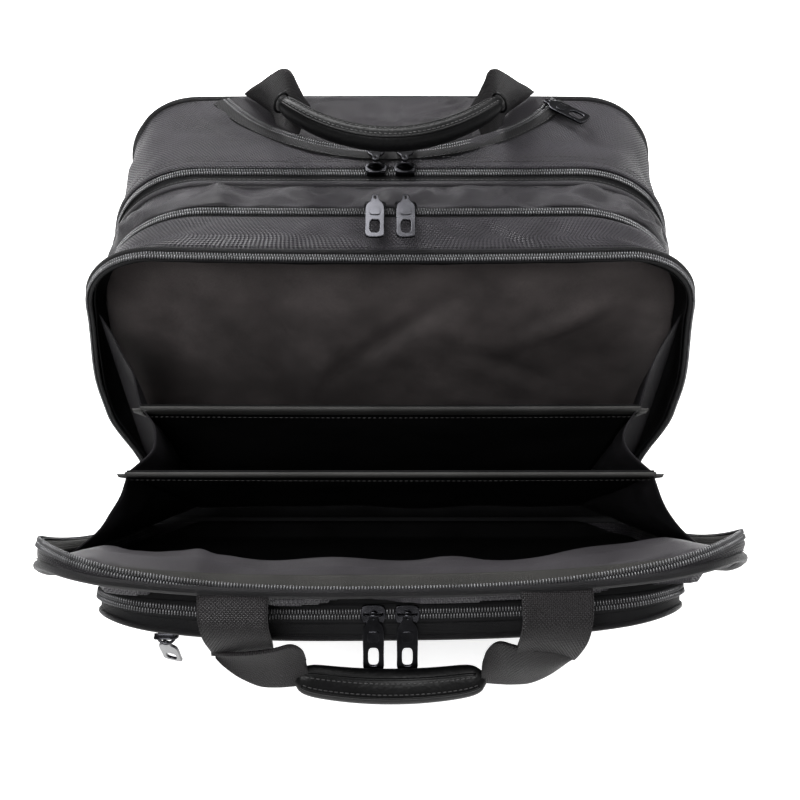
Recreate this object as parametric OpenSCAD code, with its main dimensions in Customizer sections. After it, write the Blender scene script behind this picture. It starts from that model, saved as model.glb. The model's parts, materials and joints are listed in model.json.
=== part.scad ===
// Flight bag: soft-sided bag with a rear, a middle and a front compartment.
// The front panel and two dividers fold forward on a fabric hinge at the lower front edge.
// X runs across the bag, +Y to the back, Z up. The base rests on z = 0.

/* [Body] */
// Width of the bag body
body_w = 424; // [410:2:440]
// Height of the bag body
body_h = 335; // [325:5:350]
// Depth of the rear compartment
rear_d = 100; // [97:1:110]
// Depth of the middle compartment
mid_d = 63; // [61:1:78]
// Depth of the front lip that carries the front zip
lip_d = 7; // [7:0.5:9]
// Radius of the upper corners
top_r = 66; // [50:2:80]
// Radius of the lower corners
low_r = 24; // [16:2:30]
// Thickness of the padded fabric wall
wall = 3; // [2.8:0.1:3.6]
// Diameter of the edge piping
piping_d = 3.6; // [3:0.2:4.4]
// Height up to which the base panel wraps
base_wrap = 30; // [24:2:36]

/* [Dividers] */
// Width of each divider
divider_w = 336; // [320:4:356]
// Height of each divider above the hinge
divider_h = 252; // [220:4:264]
// Thickness of each divider
divider_t = 2.4; // [2:0.2:3]
// Height of the binding along the top of a divider
hem_h = 9; // [6:1:12]
// Opening angle from the body to the rear divider
rear_angle = 20; // [16:1:22]
// Opening angle from the rear divider to the front divider
front_step = 8; // [7:1:10]
// Opening angle from the front divider to the front panel
panel_step = 10; // [9:1:11]

/* [Front panel] */
// Depth of the front panel's side wall
tray_d = 22; // [20:1:26]
// Depth of the front pocket
pocket_d = 25; // [22:1:30]
// Width of the front pocket
pocket_w = 356; // [330:2:370]
// Distance from the top of the panel to the top of the pocket
pocket_drop = 35; // [30:1:44]
// Height of the hinge line above the base
hinge_z = 20; // [18:1:24]

/* [Zips] */
// Width of a closed zip chain
chain_w = 7; // [6:0.5:8]
// Length of a zip pull
pull_l = 35; // [30:1:38]
// Width of a zip pull
pull_w = 13; // [11:0.5:14]
// Thickness of a zip pull
pull_t = 1.8; // [1.4:0.2:2.2]
// Half the distance between the sliders of a pair
slider_gap = 10; // [9:0.5:14]

/* [Handles] */
// Width of the webbing
webbing_w = 40; // [36:1:44]
// Thickness of the webbing
webbing_t = 2.4; // [2:0.2:3]
// Radius of a grip's section
grip_r = 9; // [8:0.5:10]
// Length of a grip between the webbing
grip_l = 150; // [140:2:160]

/* [Hidden] */
body_d = lip_d + mid_d + rear_d;
yf = -body_d / 2;
yp1 = yf + lip_d + mid_d - 1;
y_mid_zip = yf + lip_d + 33;
y_rear_zip = yp1 + 13;
proud = 1.4;
panel_h = body_h - hinge_z;
front_angle = rear_angle + front_step;
open_angle = front_angle + panel_step;
tape_in = 1;
pin_h = 6.4;
pin_r = 0.9;
rest_tilt = 6;
pocket_top = panel_h - pocket_drop;
pocket_low = 42;
pleat_h = divider_h - 14;
pocket_zip_y = -tray_d - 9;
crescent_r = 160;
crescent_y = yf + 262;
crescent_in = 5.5;
$fn = 48;

// ---- shared shapes ----

// A solid slab between two depths, with round upper and lower corners.
module slab(w, z0, z1, rt, rb, y0, y1) {
  d = y1 - y0;
  translate([-w / 2 + rt, y0, z0])
    cube([w - 2 * rt, d, z1 - z0]);
  translate([-w / 2, y0, z0 + rb])
    cube([w, d, z1 - z0 - rt - rb]);
  translate([-w / 2 + rb, y0, z0])
    cube([w - 2 * rb, d, rb + 1]);
  for (s = [-1, 1]) {
    translate([s * (w / 2 - rt), y1, z1 - rt])
      rotate([90, 0, 0])
        cylinder(r = rt, h = d, $fn = 96);
    translate([s * (w / 2 - rb), y1, z0 + rb])
      rotate([90, 0, 0])
        cylinder(r = rb, h = d);
  }
}

// The body's outline, moved in by a distance on every side.
module body_slab(inset, y0, y1) {
  slab(body_w - 2 * inset, inset, body_h - inset, top_r - inset, low_r - inset, y0, y1);
}

// A ring that follows the body's outline.
module body_ring(out, inner, y0, y1) {
  difference() {
    body_slab(out, y0, y1);
    body_slab(inner, y0 - 1, y1 + 1);
  }
}

// The part of a body ring above the base panel.
module upper_ring(out, inner, y0, y1) {
  intersection() {
    body_ring(out, inner, y0, y1);
    translate([-body_w, y0 - 2, base_wrap])
      cube([2 * body_w, y1 - y0 + 4, body_h * 2]);
  }
}

// Tape and raised chain of a zip around the top and sides.
module zip_ring(y0, y1, yc) {
  upper_ring(tape_in, wall, y0, y1);
  upper_ring(-proud, tape_in, yc - chain_w / 2, yc + chain_w / 2);
}

// Round piping along an outline, open at the bottom.
module piping_arch(w, z0, z1, rt, y, d) {
  for (s = [-1, 1]) {
    translate([s * w / 2, y, z0])
      cylinder(d = d, h = z1 - rt - z0);
    translate([s * (w / 2 - rt), y, z1 - rt])
      rotate([90, 0, 0])
        rotate([0, 0, s > 0 ? 0 : 90])
          rotate_extrude(angle = 90, $fn = 96)
            translate([rt, 0])
              circle(d = d);
  }
  translate([-w / 2 + rt, y, z1])
    rotate([0, 90, 0])
      cylinder(d = d, h = w - 2 * rt);
}

// Everything that folds about the hinge line is drawn closed and turned by this.
module folded(a) {
  translate([0, yf, hinge_z])
    rotate([a, 0, 0])
      children();
}

// A thin closed solid over a grid of points, thickened along one direction.
module fabric(rows, dir) {
  n = len(rows);
  m = len(rows[0]);
  top = [for (r = rows) for (p = r) p];
  low = [for (p = top) p + dir];
  k = n * m;
  quads_top = [for (i = [0:n - 2]) for (j = [0:m - 2])
    [i * m + j, i * m + j + 1, (i + 1) * m + j + 1, (i + 1) * m + j]];
  quads_low = [for (q = quads_top) [q[3] + k, q[2] + k, q[1] + k, q[0] + k]];
  side_a = [for (j = [0:m - 2]) [j, j + k, j + 1 + k, j + 1]];
  side_b = [for (j = [0:m - 2]) let (b = (n - 1) * m) [b + j + 1, b + j + 1 + k, b + j + k, b + j]];
  side_c = [for (i = [0:n - 2]) [(i + 1) * m, (i + 1) * m + k, i * m + k, i * m]];
  side_d = [for (i = [0:n - 2]) let (b = m - 1)
    [i * m + b, i * m + b + k, (i + 1) * m + b + k, (i + 1) * m + b]];
  quads = concat(quads_top, quads_low, side_a, side_b, side_c, side_d);
  tris = [for (q = quads) for (t = [[q[0], q[1], q[2]], [q[0], q[2], q[3]]]) t];
  polyhedron(points = concat(top, low), faces = tris, convexity = 4);
}

// A point on a folded sheet: side, half width, depth behind the hinge plane, height, angle.
function on_fold(s, hw, d, h, a) =
  [s * hw, yf + d * cos(a) - h * sin(a), hinge_z + h * cos(a) + d * sin(a)];

// A pleated side gusset between two folded edges, with one fold that points inward.
module pleat(s, hw0, d0, a0, hw1, d1, a1, h0, h1, fold, lean) {
  cols = 8;
  rows = [for (i = [0:cols])
    let (h = h0 + (h1 - h0) * i / cols,
         p = on_fold(s, hw0, d0, h, a0),
         q = on_fold(s, hw1, d1, h, a1),
         mid = (p + q) / 2 - [s * fold * i / cols, 0, 0])
    [p, (p + mid) / 2, mid, (mid + q) / 2, q]];
  // The grid is turned round on one side so that the faces always point outward.
  ordered = s > 0 ? rows : [for (r = rows) [for (j = [4:-1:0]) r[j]]];
  fabric(ordered, [-s * (lean == 0 ? 1.2 : 0.8), lean, 0]);
}

// ---- zip hardware, drawn on a surface at z = 0 with the chain along X ----

module slider_shape() {
  difference() {
    translate([-7, -5.2, -tape_in + 0.5])
      cube([14, 10.4, proud + 2.4 + tape_in - 0.5]);
    translate([-8, -chain_w / 2 - 0.4, -tape_in])
      cube([16, chain_w + 0.8, proud + 0.4 + tape_in]);
  }
  for (s = [-1, 1]) {
    translate([s * 2.7 - 0.6, -1.5, proud + 2.4])
      cube([1.2, 3, pin_h + 1.2 - proud - 2.4]);
  }
  translate([-2.4, 0, pin_h])
    rotate([0, 90, 0])
      cylinder(r = pin_r, h = 4.8);
}

// The pull lies along +Y from its pin, which is on the X axis at the origin.
module pull_shape() {
  difference() {
    union() {
      translate([-1.6, 0, 0])
        rotate([0, 90, 0])
          cylinder(r = 2, h = 3.2);
      translate([-1.6, 0, -pull_t / 2])
        cube([3.2, 6, pull_t]);
      translate([-pull_w / 2, 5, -pull_t / 2])
        cube([pull_w, pull_l - 5, pull_t]);
      translate([-3.2, 10, pull_t / 2 - 0.2])
        cube([6.4, 6.4, 0.7]);
    }
    translate([-2.6, 0, 0])
      rotate([0, 90, 0])
        cylinder(r = pin_r + 0.4, h = 5.2);
    translate([-pull_w / 2 + 2.4, pull_l - 15, -pull_t])
      cube([pull_w - 4.8, 12.2, pull_t * 2]);
  }
}

module top_slider(x, y) {
  translate([x, y, body_h])
    slider_shape();
}

module top_pull(x, y, turn) {
  translate([x, y, body_h + pin_h])
    rotate([0, 0, turn])
      rotate([-rest_tilt, 0, 0])
        pull_shape();
}

// ---- bag body ----

module base_panel() {
  color([0.07, 0.07, 0.08])
    intersection() {
      body_ring(0, wall, yf, -yf - 6.2);
      translate([-body_w, yf - 1, -1])
        cube([2 * body_w, body_d + 2, base_wrap + 1]);
    }
}

module rear_panel() {
  color([0.13, 0.125, 0.135])
    body_slab(4.2, -yf - 5.8, -yf);
}

module rear_piping() {
  color([0.05, 0.05, 0.055])
    piping_arch(body_w - 3.2, base_wrap, body_h - 1.6, top_r - 1.6, -yf - 4, piping_d);
}

module rear_gusset() {
  color([0.13, 0.125, 0.135])
    difference() {
      upper_ring(0, wall, y_rear_zip + 7, -yf - 6.2);
      crescent(0, body_h - wall - 1, wall + 3);
    }
}

module rear_zip() {
  color([0.04, 0.04, 0.045])
    zip_ring(yp1 + 2.2, y_rear_zip + 7, y_rear_zip);
}

module middle_piping() {
  color([0.05, 0.05, 0.055])
    piping_arch(body_w - 2 * 1.2, base_wrap, body_h - 1.2, top_r - 1.2, yp1, piping_d);
}

module middle_gusset_rear() {
  color([0.13, 0.125, 0.135])
    upper_ring(0, wall, y_mid_zip + 6, yp1 - 2.2);
}

module middle_zip() {
  color([0.04, 0.04, 0.045])
    zip_ring(y_mid_zip - 6, y_mid_zip + 6, y_mid_zip);
}

module middle_gusset_front() {
  color([0.13, 0.125, 0.135])
    upper_ring(0, wall, yf + lip_d + 2.2, y_mid_zip - 6);
}

module front_piping() {
  color([0.05, 0.05, 0.055])
    piping_arch(body_w - 2 * 1.2, base_wrap, body_h - 1.2, top_r - 1.2, yf + lip_d, piping_d);
}

module front_zip_body_half() {
  color([0.04, 0.04, 0.045])
    union() {
      upper_ring(tape_in, wall, yf, yf + lip_d - 2);
      upper_ring(-proud, tape_in, yf, yf + chain_w / 2);
    }
}

module laptop_wall() {
  color([0.1, 0.1, 0.105])
    body_slab(wall + 0.1, yp1 - 1.2, yp1 + 1.2);
}

module organizer_wall() {
  color([0.16, 0.15, 0.15])
    body_slab(wall + 0.1, yf + 27, yf + 29.4);
}

// Half-moon region of the top, as a prism.
module crescent(inset, z, h) {
  intersection() {
    translate([0, crescent_y, z])
      cylinder(r = crescent_r - inset, h = h, $fn = 180);
    translate([-body_w / 2, yf + 60, z - 1])
      cube([body_w, 102 - inset, h + 2]);
  }
}

module rear_pocket_panel() {
  color([0.2, 0.19, 0.2])
    crescent(crescent_in, body_h - wall, 1.6);
}

module rear_pocket_zip() {
  color([0.04, 0.04, 0.045])
    difference() {
      crescent(0, body_h - wall, wall - tape_in);
      crescent(crescent_in, body_h - wall - 1, wall + 2);
    }
}

// A flat strip of cloth along the outer edge of the pocket's zip.
module rear_pocket_flap() {
  color([0.07, 0.07, 0.075])
    difference() {
      crescent_band(crescent_r + 8);
      crescent_band(crescent_r + 0.3);
    }
}

module crescent_band(r) {
  intersection() {
    translate([0, crescent_y, body_h])
      cylinder(r = r, h = 1.2, $fn = 180);
    translate([-body_w / 2, yf + 60, body_h - 1])
      cube([body_w, 97, 4]);
  }
}

module accordion_rear() {
  color([0.09, 0.09, 0.095])
    for (s = [-1, 1]) {
      pleat(s, body_w / 2 - wall - 0.8, 10, 0, divider_w / 2 + 2.4, 15, rear_angle, 24, pleat_h, 3, 0.9);
    }
}

// The parked front zip sliders sit low on each side and grip the body half only.
module front_zip_slider(s) {
  color([0.1, 0.1, 0.11])
    translate([s * body_w / 2, yf, 62])
      rotate([0, s * 90, 0]) {
        translate([-7, 0.2, proud + 0.5])
          cube([14, 9, 1.6]);
        translate([-7, lip_d + 2.8, 0.2])
          cube([14, 1.8, proud + 1.9]);
        for (t = [-1, 1]) {
          translate([-1.5, 5 + t * 2.7 - 0.6, proud + 2.1])
            cube([3, 1.2, pin_h + 1.2 - proud - 2.1]);
        }
        translate([0, 2.6, pin_h])
          rotate([-90, 0, 0])
            cylinder(r = pin_r, h = 4.8);
      }
}

module front_zip_slider_left() {
  front_zip_slider(-1);
}

module front_zip_slider_right() {
  front_zip_slider(1);
}

// ---- dividers ----

module divider_sheet_shape(d) {
  translate([-divider_w / 2, d, 6])
    cube([divider_w, divider_t, divider_h - 6 - hem_h]);
}

module divider_hem_shape(d) {
  translate([-divider_w / 2 - 1, d - 1, divider_h - hem_h])
    cube([divider_w + 2, divider_t + 2, hem_h]);
  for (s = [-1, 1]) {
    translate([s * (divider_w / 2 + 4.5) - 3.5, d - 0.4, divider_h - 12])
      cube([7, divider_t + 0.8, 9]);
  }
}

module divider_rear_sheet() {
  color([0.09, 0.09, 0.095])
    folded(rear_angle)
      divider_sheet_shape(15);
}

module divider_rear_hem() {
  color([0.15, 0.15, 0.14])
    folded(rear_angle)
      divider_hem_shape(15);
}

module accordion_middle() {
  color([0.09, 0.09, 0.095])
    for (s = [-1, 1]) {
      pleat(s, divider_w / 2 + 2.4, 14, rear_angle, divider_w / 2 + 2.4, 9, front_angle, 24, pleat_h, 9, 0);
    }
}

module divider_front_sheet() {
  color([0.09, 0.09, 0.095])
    folded(front_angle)
      divider_sheet_shape(6);
}

module divider_front_hem() {
  color([0.15, 0.15, 0.14])
    folded(front_angle)
      divider_hem_shape(6);
}

module accordion_front() {
  color([0.09, 0.09, 0.095])
    for (s = [-1, 1]) {
      pleat(s, divider_w / 2 + 2.4, 5, front_angle, body_w / 2 - wall - 0.8, -4, open_angle, 24, pleat_h, 7, -0.9);
    }
}

// ---- front panel, drawn closed with the hinge line at the origin ----

module panel_slab(inset, y0, y1) {
  slab(body_w - 2 * inset, 2 + inset, panel_h - inset, top_r - inset, low_r - inset, y0, y1);
}

module panel_ring(out, inner, y0, y1) {
  difference() {
    panel_slab(out, y0, y1);
    panel_slab(inner, y0 - 1, y1 + 1);
  }
}

module panel_board() {
  color([0.15, 0.14, 0.15])
    folded(open_angle)
      panel_slab(wall + 0.1, -tray_d, -tray_d + 3);
}

module panel_gusset() {
  color([0.13, 0.125, 0.135])
    folded(open_angle)
      panel_ring(0, wall, -tray_d + 3.8, -5);
}

module panel_piping() {
  color([0.05, 0.05, 0.055])
    folded(open_angle)
      panel_ring(0, wall, -tray_d, -tray_d + 3.8);
}

module front_zip_panel_half() {
  color([0.04, 0.04, 0.045])
    folded(open_angle)
      union() {
        panel_ring(tape_in, wall, -5, -0.5);
        intersection() {
          panel_ring(-proud, tape_in, -chain_w / 2 - 0.5, -0.5);
          translate([-body_w, -10, base_wrap])
            cube([2 * body_w, 12, panel_h]);
        }
      }
}

module pocket_slab(inset, y0, y1) {
  slab(pocket_w - 2 * inset, pocket_low + inset, pocket_top - inset, 44 - inset, 20 - inset, y0, y1);
}

module pocket_ring(out, inner, y0, y1) {
  difference() {
    pocket_slab(out, y0, y1);
    pocket_slab(inner, y0 - 1, y1 + 1);
  }
}

module pocket_gusset() {
  color([0.13, 0.125, 0.135])
    folded(open_angle)
      pocket_ring(0, 2.4, -tray_d - pocket_d + 2.4, pocket_zip_y - 6.5);
}

module pocket_zip() {
  color([0.04, 0.04, 0.045])
    folded(open_angle)
      union() {
        pocket_ring(tape_in, 2.4, pocket_zip_y - 6.5, -tray_d);
        pocket_ring(-proud, tape_in, pocket_zip_y - chain_w / 2, pocket_zip_y + chain_w / 2);
      }
}

module pocket_face() {
  color([0.13, 0.125, 0.135])
    folded(open_angle)
      difference() {
        pocket_slab(0, -tray_d - pocket_d, -tray_d - pocket_d + 2.4);
        lower_zip_slot(0);
      }
}

module lower_zip_slot(inset) {
  translate([-150 + inset, -tray_d - pocket_d - 1, pocket_top - 30 + inset])
    cube([300 - 2 * inset, 6, 14 - 2 * inset]);
}

module lower_pocket_zip() {
  color([0.04, 0.04, 0.045])
    folded(open_angle)
      union() {
        translate([-150, -tray_d - pocket_d + tape_in, pocket_top - 30])
          cube([300, 2.4 - tape_in, 14]);
        translate([-150, -tray_d - pocket_d - proud, pocket_top - 23 - chain_w / 2])
          cube([300, proud + tape_in, chain_w]);
      }
}

// ---- handles ----

// The rear handle stands on the top and leans forward over it.
module rear_webbing_profile() {
  polygon([
    [yf + 153.8, body_h + 1.8], [yf + 156.2, body_h + 1.8],
    [yf + 150.2, body_h + 38.6], [yf + 147.4, body_h + 40.4],
    [yf + 92, body_h + 30.2], [yf + 92, body_h + 27.8],
    [yf + 146.6, body_h + 37.6], [yf + 148, body_h + 36.8]
  ]);
}

module rear_grip_solid() {
  translate([0, yf + 190, body_h + 29])
    rotate([0, 0, 270 - grip_angle])
      rotate_extrude(angle = 2 * grip_angle, $fn = 96)
        translate([grip_bend, 0])
          circle(r = grip_r);
}

grip_bend = 120;
grip_angle = asin(grip_l / 2 / grip_bend);

module rear_webbing(s) {
  color([0.09, 0.09, 0.095])
    difference() {
      translate([s > 0 ? 63 : -63 - webbing_w, 0, 0])
        rotate([90, 0, 90])
          linear_extrude(webbing_w)
            rear_webbing_profile();
      rear_grip_solid();
    }
}

module rear_webbing_left() {
  rear_webbing(-1);
}

module rear_webbing_right() {
  rear_webbing(1);
}

module rear_grip() {
  color([0.05, 0.05, 0.055])
    rear_grip_solid();
}

// The front handle leaves the panel's face, clears the pocket and hangs in front of it.
function on_panel(d, h) =
  [yf + d * cos(open_angle) - h * sin(open_angle),
   hinge_z + h * cos(open_angle) + d * sin(open_angle)];

hang_y = on_panel(-tray_d - pocket_d, pocket_top)[0] - 15;
hang_z = on_panel(-tray_d - pocket_d, pocket_top)[1] - 14;

module front_webbing_profile() {
  root = on_panel(-tray_d - 1.6, pocket_top + 16);
  turn = on_panel(-tray_d - pocket_d + 3, pocket_top + 14);
  up = [-webbing_t * sin(open_angle), webbing_t * cos(open_angle)];
  polygon([
    root, root + up, turn + up, [hang_y - webbing_t, turn[1] - 10],
    [hang_y - webbing_t, hang_z], [hang_y, hang_z], [hang_y, turn[1] - 9], turn
  ]);
}

module front_grip_solid() {
  translate([0, hang_y - webbing_t / 2, hang_z + grip_bend * cos(grip_angle) - 4])
    rotate([90, 0, 0])
      rotate([0, 0, 270 - grip_angle])
        rotate_extrude(angle = 2 * grip_angle, $fn = 96)
          translate([grip_bend, 0])
            circle(r = grip_r);
}

module front_webbing(s) {
  color([0.09, 0.09, 0.095])
    difference() {
      translate([s > 0 ? 74 : -74 - webbing_w, 0, 0])
        rotate([90, 0, 90])
          linear_extrude(webbing_w)
            front_webbing_profile();
      front_grip_solid();
    }
}

module front_webbing_left() {
  front_webbing(-1);
}

module front_webbing_right() {
  front_webbing(1);
}

module front_grip() {
  color([0.05, 0.05, 0.055])
    front_grip_solid();
}

// ---- sliders and pulls ----

module rear_slider_left() {
  color([0.1, 0.1, 0.11])
    top_slider(-slider_gap, y_rear_zip);
}

module rear_slider_right() {
  color([0.1, 0.1, 0.11])
    top_slider(slider_gap, y_rear_zip);
}

module rear_pull_left() {
  color([0.1, 0.1, 0.11])
    top_pull(-slider_gap, y_rear_zip, 0);
}

module rear_pull_right() {
  color([0.1, 0.1, 0.11])
    top_pull(slider_gap, y_rear_zip, 0);
}

module middle_slider_left() {
  color([0.1, 0.1, 0.11])
    top_slider(-slider_gap, y_mid_zip);
}

module middle_slider_right() {
  color([0.1, 0.1, 0.11])
    top_slider(slider_gap, y_mid_zip);
}

module middle_pull_left() {
  color([0.1, 0.1, 0.11])
    top_pull(-slider_gap, y_mid_zip, 180);
}

module middle_pull_right() {
  color([0.1, 0.1, 0.11])
    top_pull(slider_gap, y_mid_zip, 180);
}

module pocket_slider(x) {
  color([0.1, 0.1, 0.11])
    folded(open_angle)
      translate([x, pocket_zip_y, pocket_top])
        slider_shape();
}

// The pulls lean over the pocket's front edge.
module pocket_pull(x) {
  color([0.1, 0.1, 0.11])
    folded(open_angle)
      translate([x, pocket_zip_y, pocket_top + pin_h])
        rotate([0, 0, 180])
          rotate([-14, 0, 0])
            pull_shape();
}

module pocket_slider_left() {
  pocket_slider(-slider_gap);
}

module pocket_slider_right() {
  pocket_slider(slider_gap);
}

module pocket_pull_left() {
  pocket_pull(-slider_gap);
}

module pocket_pull_right() {
  pocket_pull(slider_gap);
}

lower_zip_x = -138;
lower_zip_d = -tray_d - pocket_d;
lower_zip_h = pocket_top - 23;

module lower_pocket_slider() {
  color([0.1, 0.1, 0.11])
    folded(open_angle)
      translate([lower_zip_x, lower_zip_d, lower_zip_h])
        rotate([90, 0, 0])
          slider_shape();
}

module lower_pocket_pull() {
  p = on_panel(lower_zip_d - pin_h, lower_zip_h);
  color([0.1, 0.1, 0.11])
    translate([lower_zip_x, p[0], p[1]])
      rotate([-90, 0, 0])
        pull_shape();
}

// The rear pocket's slider stands at the right end of its curved zip.
pocket_zip_angle = 47;

module rear_pocket_place() {
  translate([0, crescent_y, body_h - tape_in])
    rotate([0, 0, pocket_zip_angle])
      translate([0, -crescent_r + crescent_in / 2, 0])
        children();
}

module rear_pocket_slider() {
  color([0.1, 0.1, 0.11])
    rear_pocket_place() {
      translate([-6, -2.4, 0.5])
        cube([12, 4.8, 1.9]);
      for (s = [-1, 1]) {
        translate([s * 2.7 - 0.6, -1.3, 2.4])
          cube([1.2, 2.6, 2.8]);
      }
      translate([-2.4, 0, 4.2])
        rotate([0, 90, 0])
          cylinder(r = 0.7, h = 4.8);
    }
}

module rear_pocket_pull() {
  color([0.1, 0.1, 0.11])
    rear_pocket_place()
      translate([0, 0, 4.2])
        rotate([0, 0, 180])
          difference() {
            union() {
              translate([-1.6, 0, 0])
                rotate([0, 90, 0])
                  cylinder(r = 1.5, h = 3.2);
              translate([-1.6, 0, -0.7])
                cube([3.2, 6, 1.4]);
              translate([-pull_w / 2, 5, -0.7])
                cube([pull_w, pull_l - 5, 1.4]);
            }
            translate([-2.6, 0, 0])
              rotate([0, 90, 0])
                cylinder(r = 1.05, h = 5.2);
            translate([-pull_w / 2 + 2.4, pull_l - 15, -2])
              cube([pull_w - 4.8, 12.2, 4]);
          }
}

module front_zip_pull(s) {
  color([0.1, 0.1, 0.11])
    translate([s * (body_w / 2 + pin_h), yf + 5, 62])
      rotate([0, 0, s * 90])
        rotate([-90, 0, 0])
          pull_shape();
}

module front_zip_pull_left() {
  front_zip_pull(-1);
}

module front_zip_pull_right() {
  front_zip_pull(1);
}

base_panel();
rear_panel();
rear_piping();
rear_gusset();
rear_zip();
middle_piping();
middle_gusset_rear();
middle_zip();
middle_gusset_front();
front_piping();
front_zip_body_half();
laptop_wall();
organizer_wall();
rear_pocket_panel();
rear_pocket_flap();
rear_pocket_zip();
accordion_rear();
front_zip_slider_left();
front_zip_slider_right();
divider_rear_sheet();
divider_rear_hem();
accordion_middle();
divider_front_sheet();
divider_front_hem();
accordion_front();
panel_board();
panel_gusset();
panel_piping();
front_zip_panel_half();
pocket_gusset();
pocket_zip();
pocket_face();
lower_pocket_zip();
rear_webbing_left();
rear_webbing_right();
rear_grip();
front_webbing_left();
front_webbing_right();
front_grip();
rear_slider_left();
rear_slider_right();
rear_pull_left();
rear_pull_right();
middle_slider_left();
middle_slider_right();
middle_pull_left();
middle_pull_right();
pocket_slider_left();
pocket_slider_right();
pocket_pull_left();
pocket_pull_right();
lower_pocket_slider();
lower_pocket_pull();
rear_pocket_slider();
rear_pocket_pull();
front_zip_pull_left();
front_zip_pull_right();
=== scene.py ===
"""The looks of a soft flight bag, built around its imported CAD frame.

The bag's body is a set of strips of cloth that follow one arch, the front panel is drawn closed about its
hinge line and folded open, and the dividers hang between them. All lengths are metres.
"""

import json
import math

import bpy
import numpy as np
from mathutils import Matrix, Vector


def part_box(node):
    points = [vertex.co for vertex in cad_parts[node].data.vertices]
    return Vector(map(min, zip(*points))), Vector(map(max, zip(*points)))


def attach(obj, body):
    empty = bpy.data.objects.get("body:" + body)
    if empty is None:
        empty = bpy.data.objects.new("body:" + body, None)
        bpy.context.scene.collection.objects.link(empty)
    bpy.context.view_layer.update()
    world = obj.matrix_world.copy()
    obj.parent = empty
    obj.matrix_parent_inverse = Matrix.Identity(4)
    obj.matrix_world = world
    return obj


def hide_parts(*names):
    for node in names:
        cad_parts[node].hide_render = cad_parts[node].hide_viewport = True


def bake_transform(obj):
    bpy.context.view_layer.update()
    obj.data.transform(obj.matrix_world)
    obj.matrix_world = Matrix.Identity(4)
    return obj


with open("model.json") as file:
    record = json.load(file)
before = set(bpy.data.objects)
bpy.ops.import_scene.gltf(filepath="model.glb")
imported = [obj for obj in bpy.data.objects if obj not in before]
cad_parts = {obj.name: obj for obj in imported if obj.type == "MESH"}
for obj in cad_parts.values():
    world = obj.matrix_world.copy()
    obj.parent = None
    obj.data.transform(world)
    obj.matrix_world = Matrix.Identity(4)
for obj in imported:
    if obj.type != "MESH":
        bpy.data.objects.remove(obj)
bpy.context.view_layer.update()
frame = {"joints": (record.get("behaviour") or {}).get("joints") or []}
MM = 0.001


def mm(*values):
    return np.array(values) * MM


# ---- places taken from the CAD frame ----
FRONT_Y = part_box("front_zip_body_half")[0][1]
BACK_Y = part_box("rear_panel")[1][1]
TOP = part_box("rear_panel")[1][2]
BASE_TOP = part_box("base_panel")[1][2]
JOINTS = {j["name"]: j for j in frame["joints"]}
HINGE_Z = JOINTS["front_panel_hinge"]["pos_m"][2]


def middle(node, axis):
    """The middle of a CAD node along one axis."""
    low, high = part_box(node)
    return (low[axis] + high[axis]) / 2


def opened(joint):
    """How far a fold stands open at rest, in degrees."""
    return abs(JOINTS[joint]["range_deg"][0])


def pin_of(piece):
    return JOINTS[f"{piece}_hinge"]["pos_m"]


REAR_ZIP_Y = middle("rear_slider_left", 1)
MIDDLE_ZIP_Y = middle("middle_slider_left", 1)
MIDDLE_PIPING_Y = middle("middle_piping", 1)
FRONT_PIPING_Y = middle("front_piping", 1)
REAR_ANGLE = opened("divider_rear_hinge")
FRONT_ANGLE = REAR_ANGLE + opened("divider_front_hinge")
OPEN_ANGLE = FRONT_ANGLE + opened("front_panel_hinge")

# ---- driving sizes ----
RADIUS_AT_Y = (mm(-85, -77, -68, -45, -16, 0, 30, 80), mm(52, 52, 74, 84, 80, 72, 76, 58))
HALF_W_AT_Y = (mm(-85, -77, -68, -45, 0, 80), mm(204.5, 204.5, 206, 204.5, 203, 201.5))
HALF_W_FRONT = 213 * MM
BACK_SEAM_Y = 80 * MM
SIDE_BULGE = 13 * MM
SAG_ZONE = 75 * MM
LIP_START = -52 * MM
LIP_RUN = 30 * MM
LOW_R = 24 * MM
CLOTH = 3 * MM
LINING_GAP = 0.6 * MM
TRAY_D = 22 * MM
POCKET_D = 25 * MM
FACE_D = -TRAY_D - POCKET_D
PANEL_H = TOP - HINGE_Z
POCKET_TOP = 280 * MM
POCKET_LOW = 42 * MM
POCKET_HALF_W = 178 * MM
POCKET_ZIP_D = -TRAY_D - 9 * MM
LOWER_ZIP_H = POCKET_TOP - 23 * MM
LOWER_ZIP_HALF = 140 * MM
CRESCENT_R = 160 * MM
CRESCENT_Y = FRONT_Y + 262 * MM
CRESCENT_LIFT = 1.8 * MM
WEBBING_T = 2.4 * MM
UP = np.array([0, 0, 1.0])


# ---- small maths ----
RIPPLE_WAVES = 7


def smooth(t):
    """0 below 0, 1 above 1, with a soft start and end."""
    t = np.clip(t, 0, 1)
    return t * t * (3 - 2 * t)


def ripple(u, v, seed, length):
    """Soft waves of about one height unit, a few lengths long, in many directions."""
    rng = np.random.RandomState(seed)
    total = np.zeros(np.broadcast(u, v).shape)
    for _ in range(RIPPLE_WAVES):
        angle = rng.uniform(0, math.pi)
        size = length * rng.uniform(0.6, 1.7)
        phase = rng.uniform(0, 2 * math.pi)
        bend = 0.8 * np.sin((u * math.sin(angle) - v * math.cos(angle)) / (2.2 * size) + phase)
        total += np.sin(2 * math.pi * (u * math.cos(angle) + v * math.sin(angle)) / size + phase + bend)
    return total / (RIPPLE_WAVES / 2)


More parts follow.
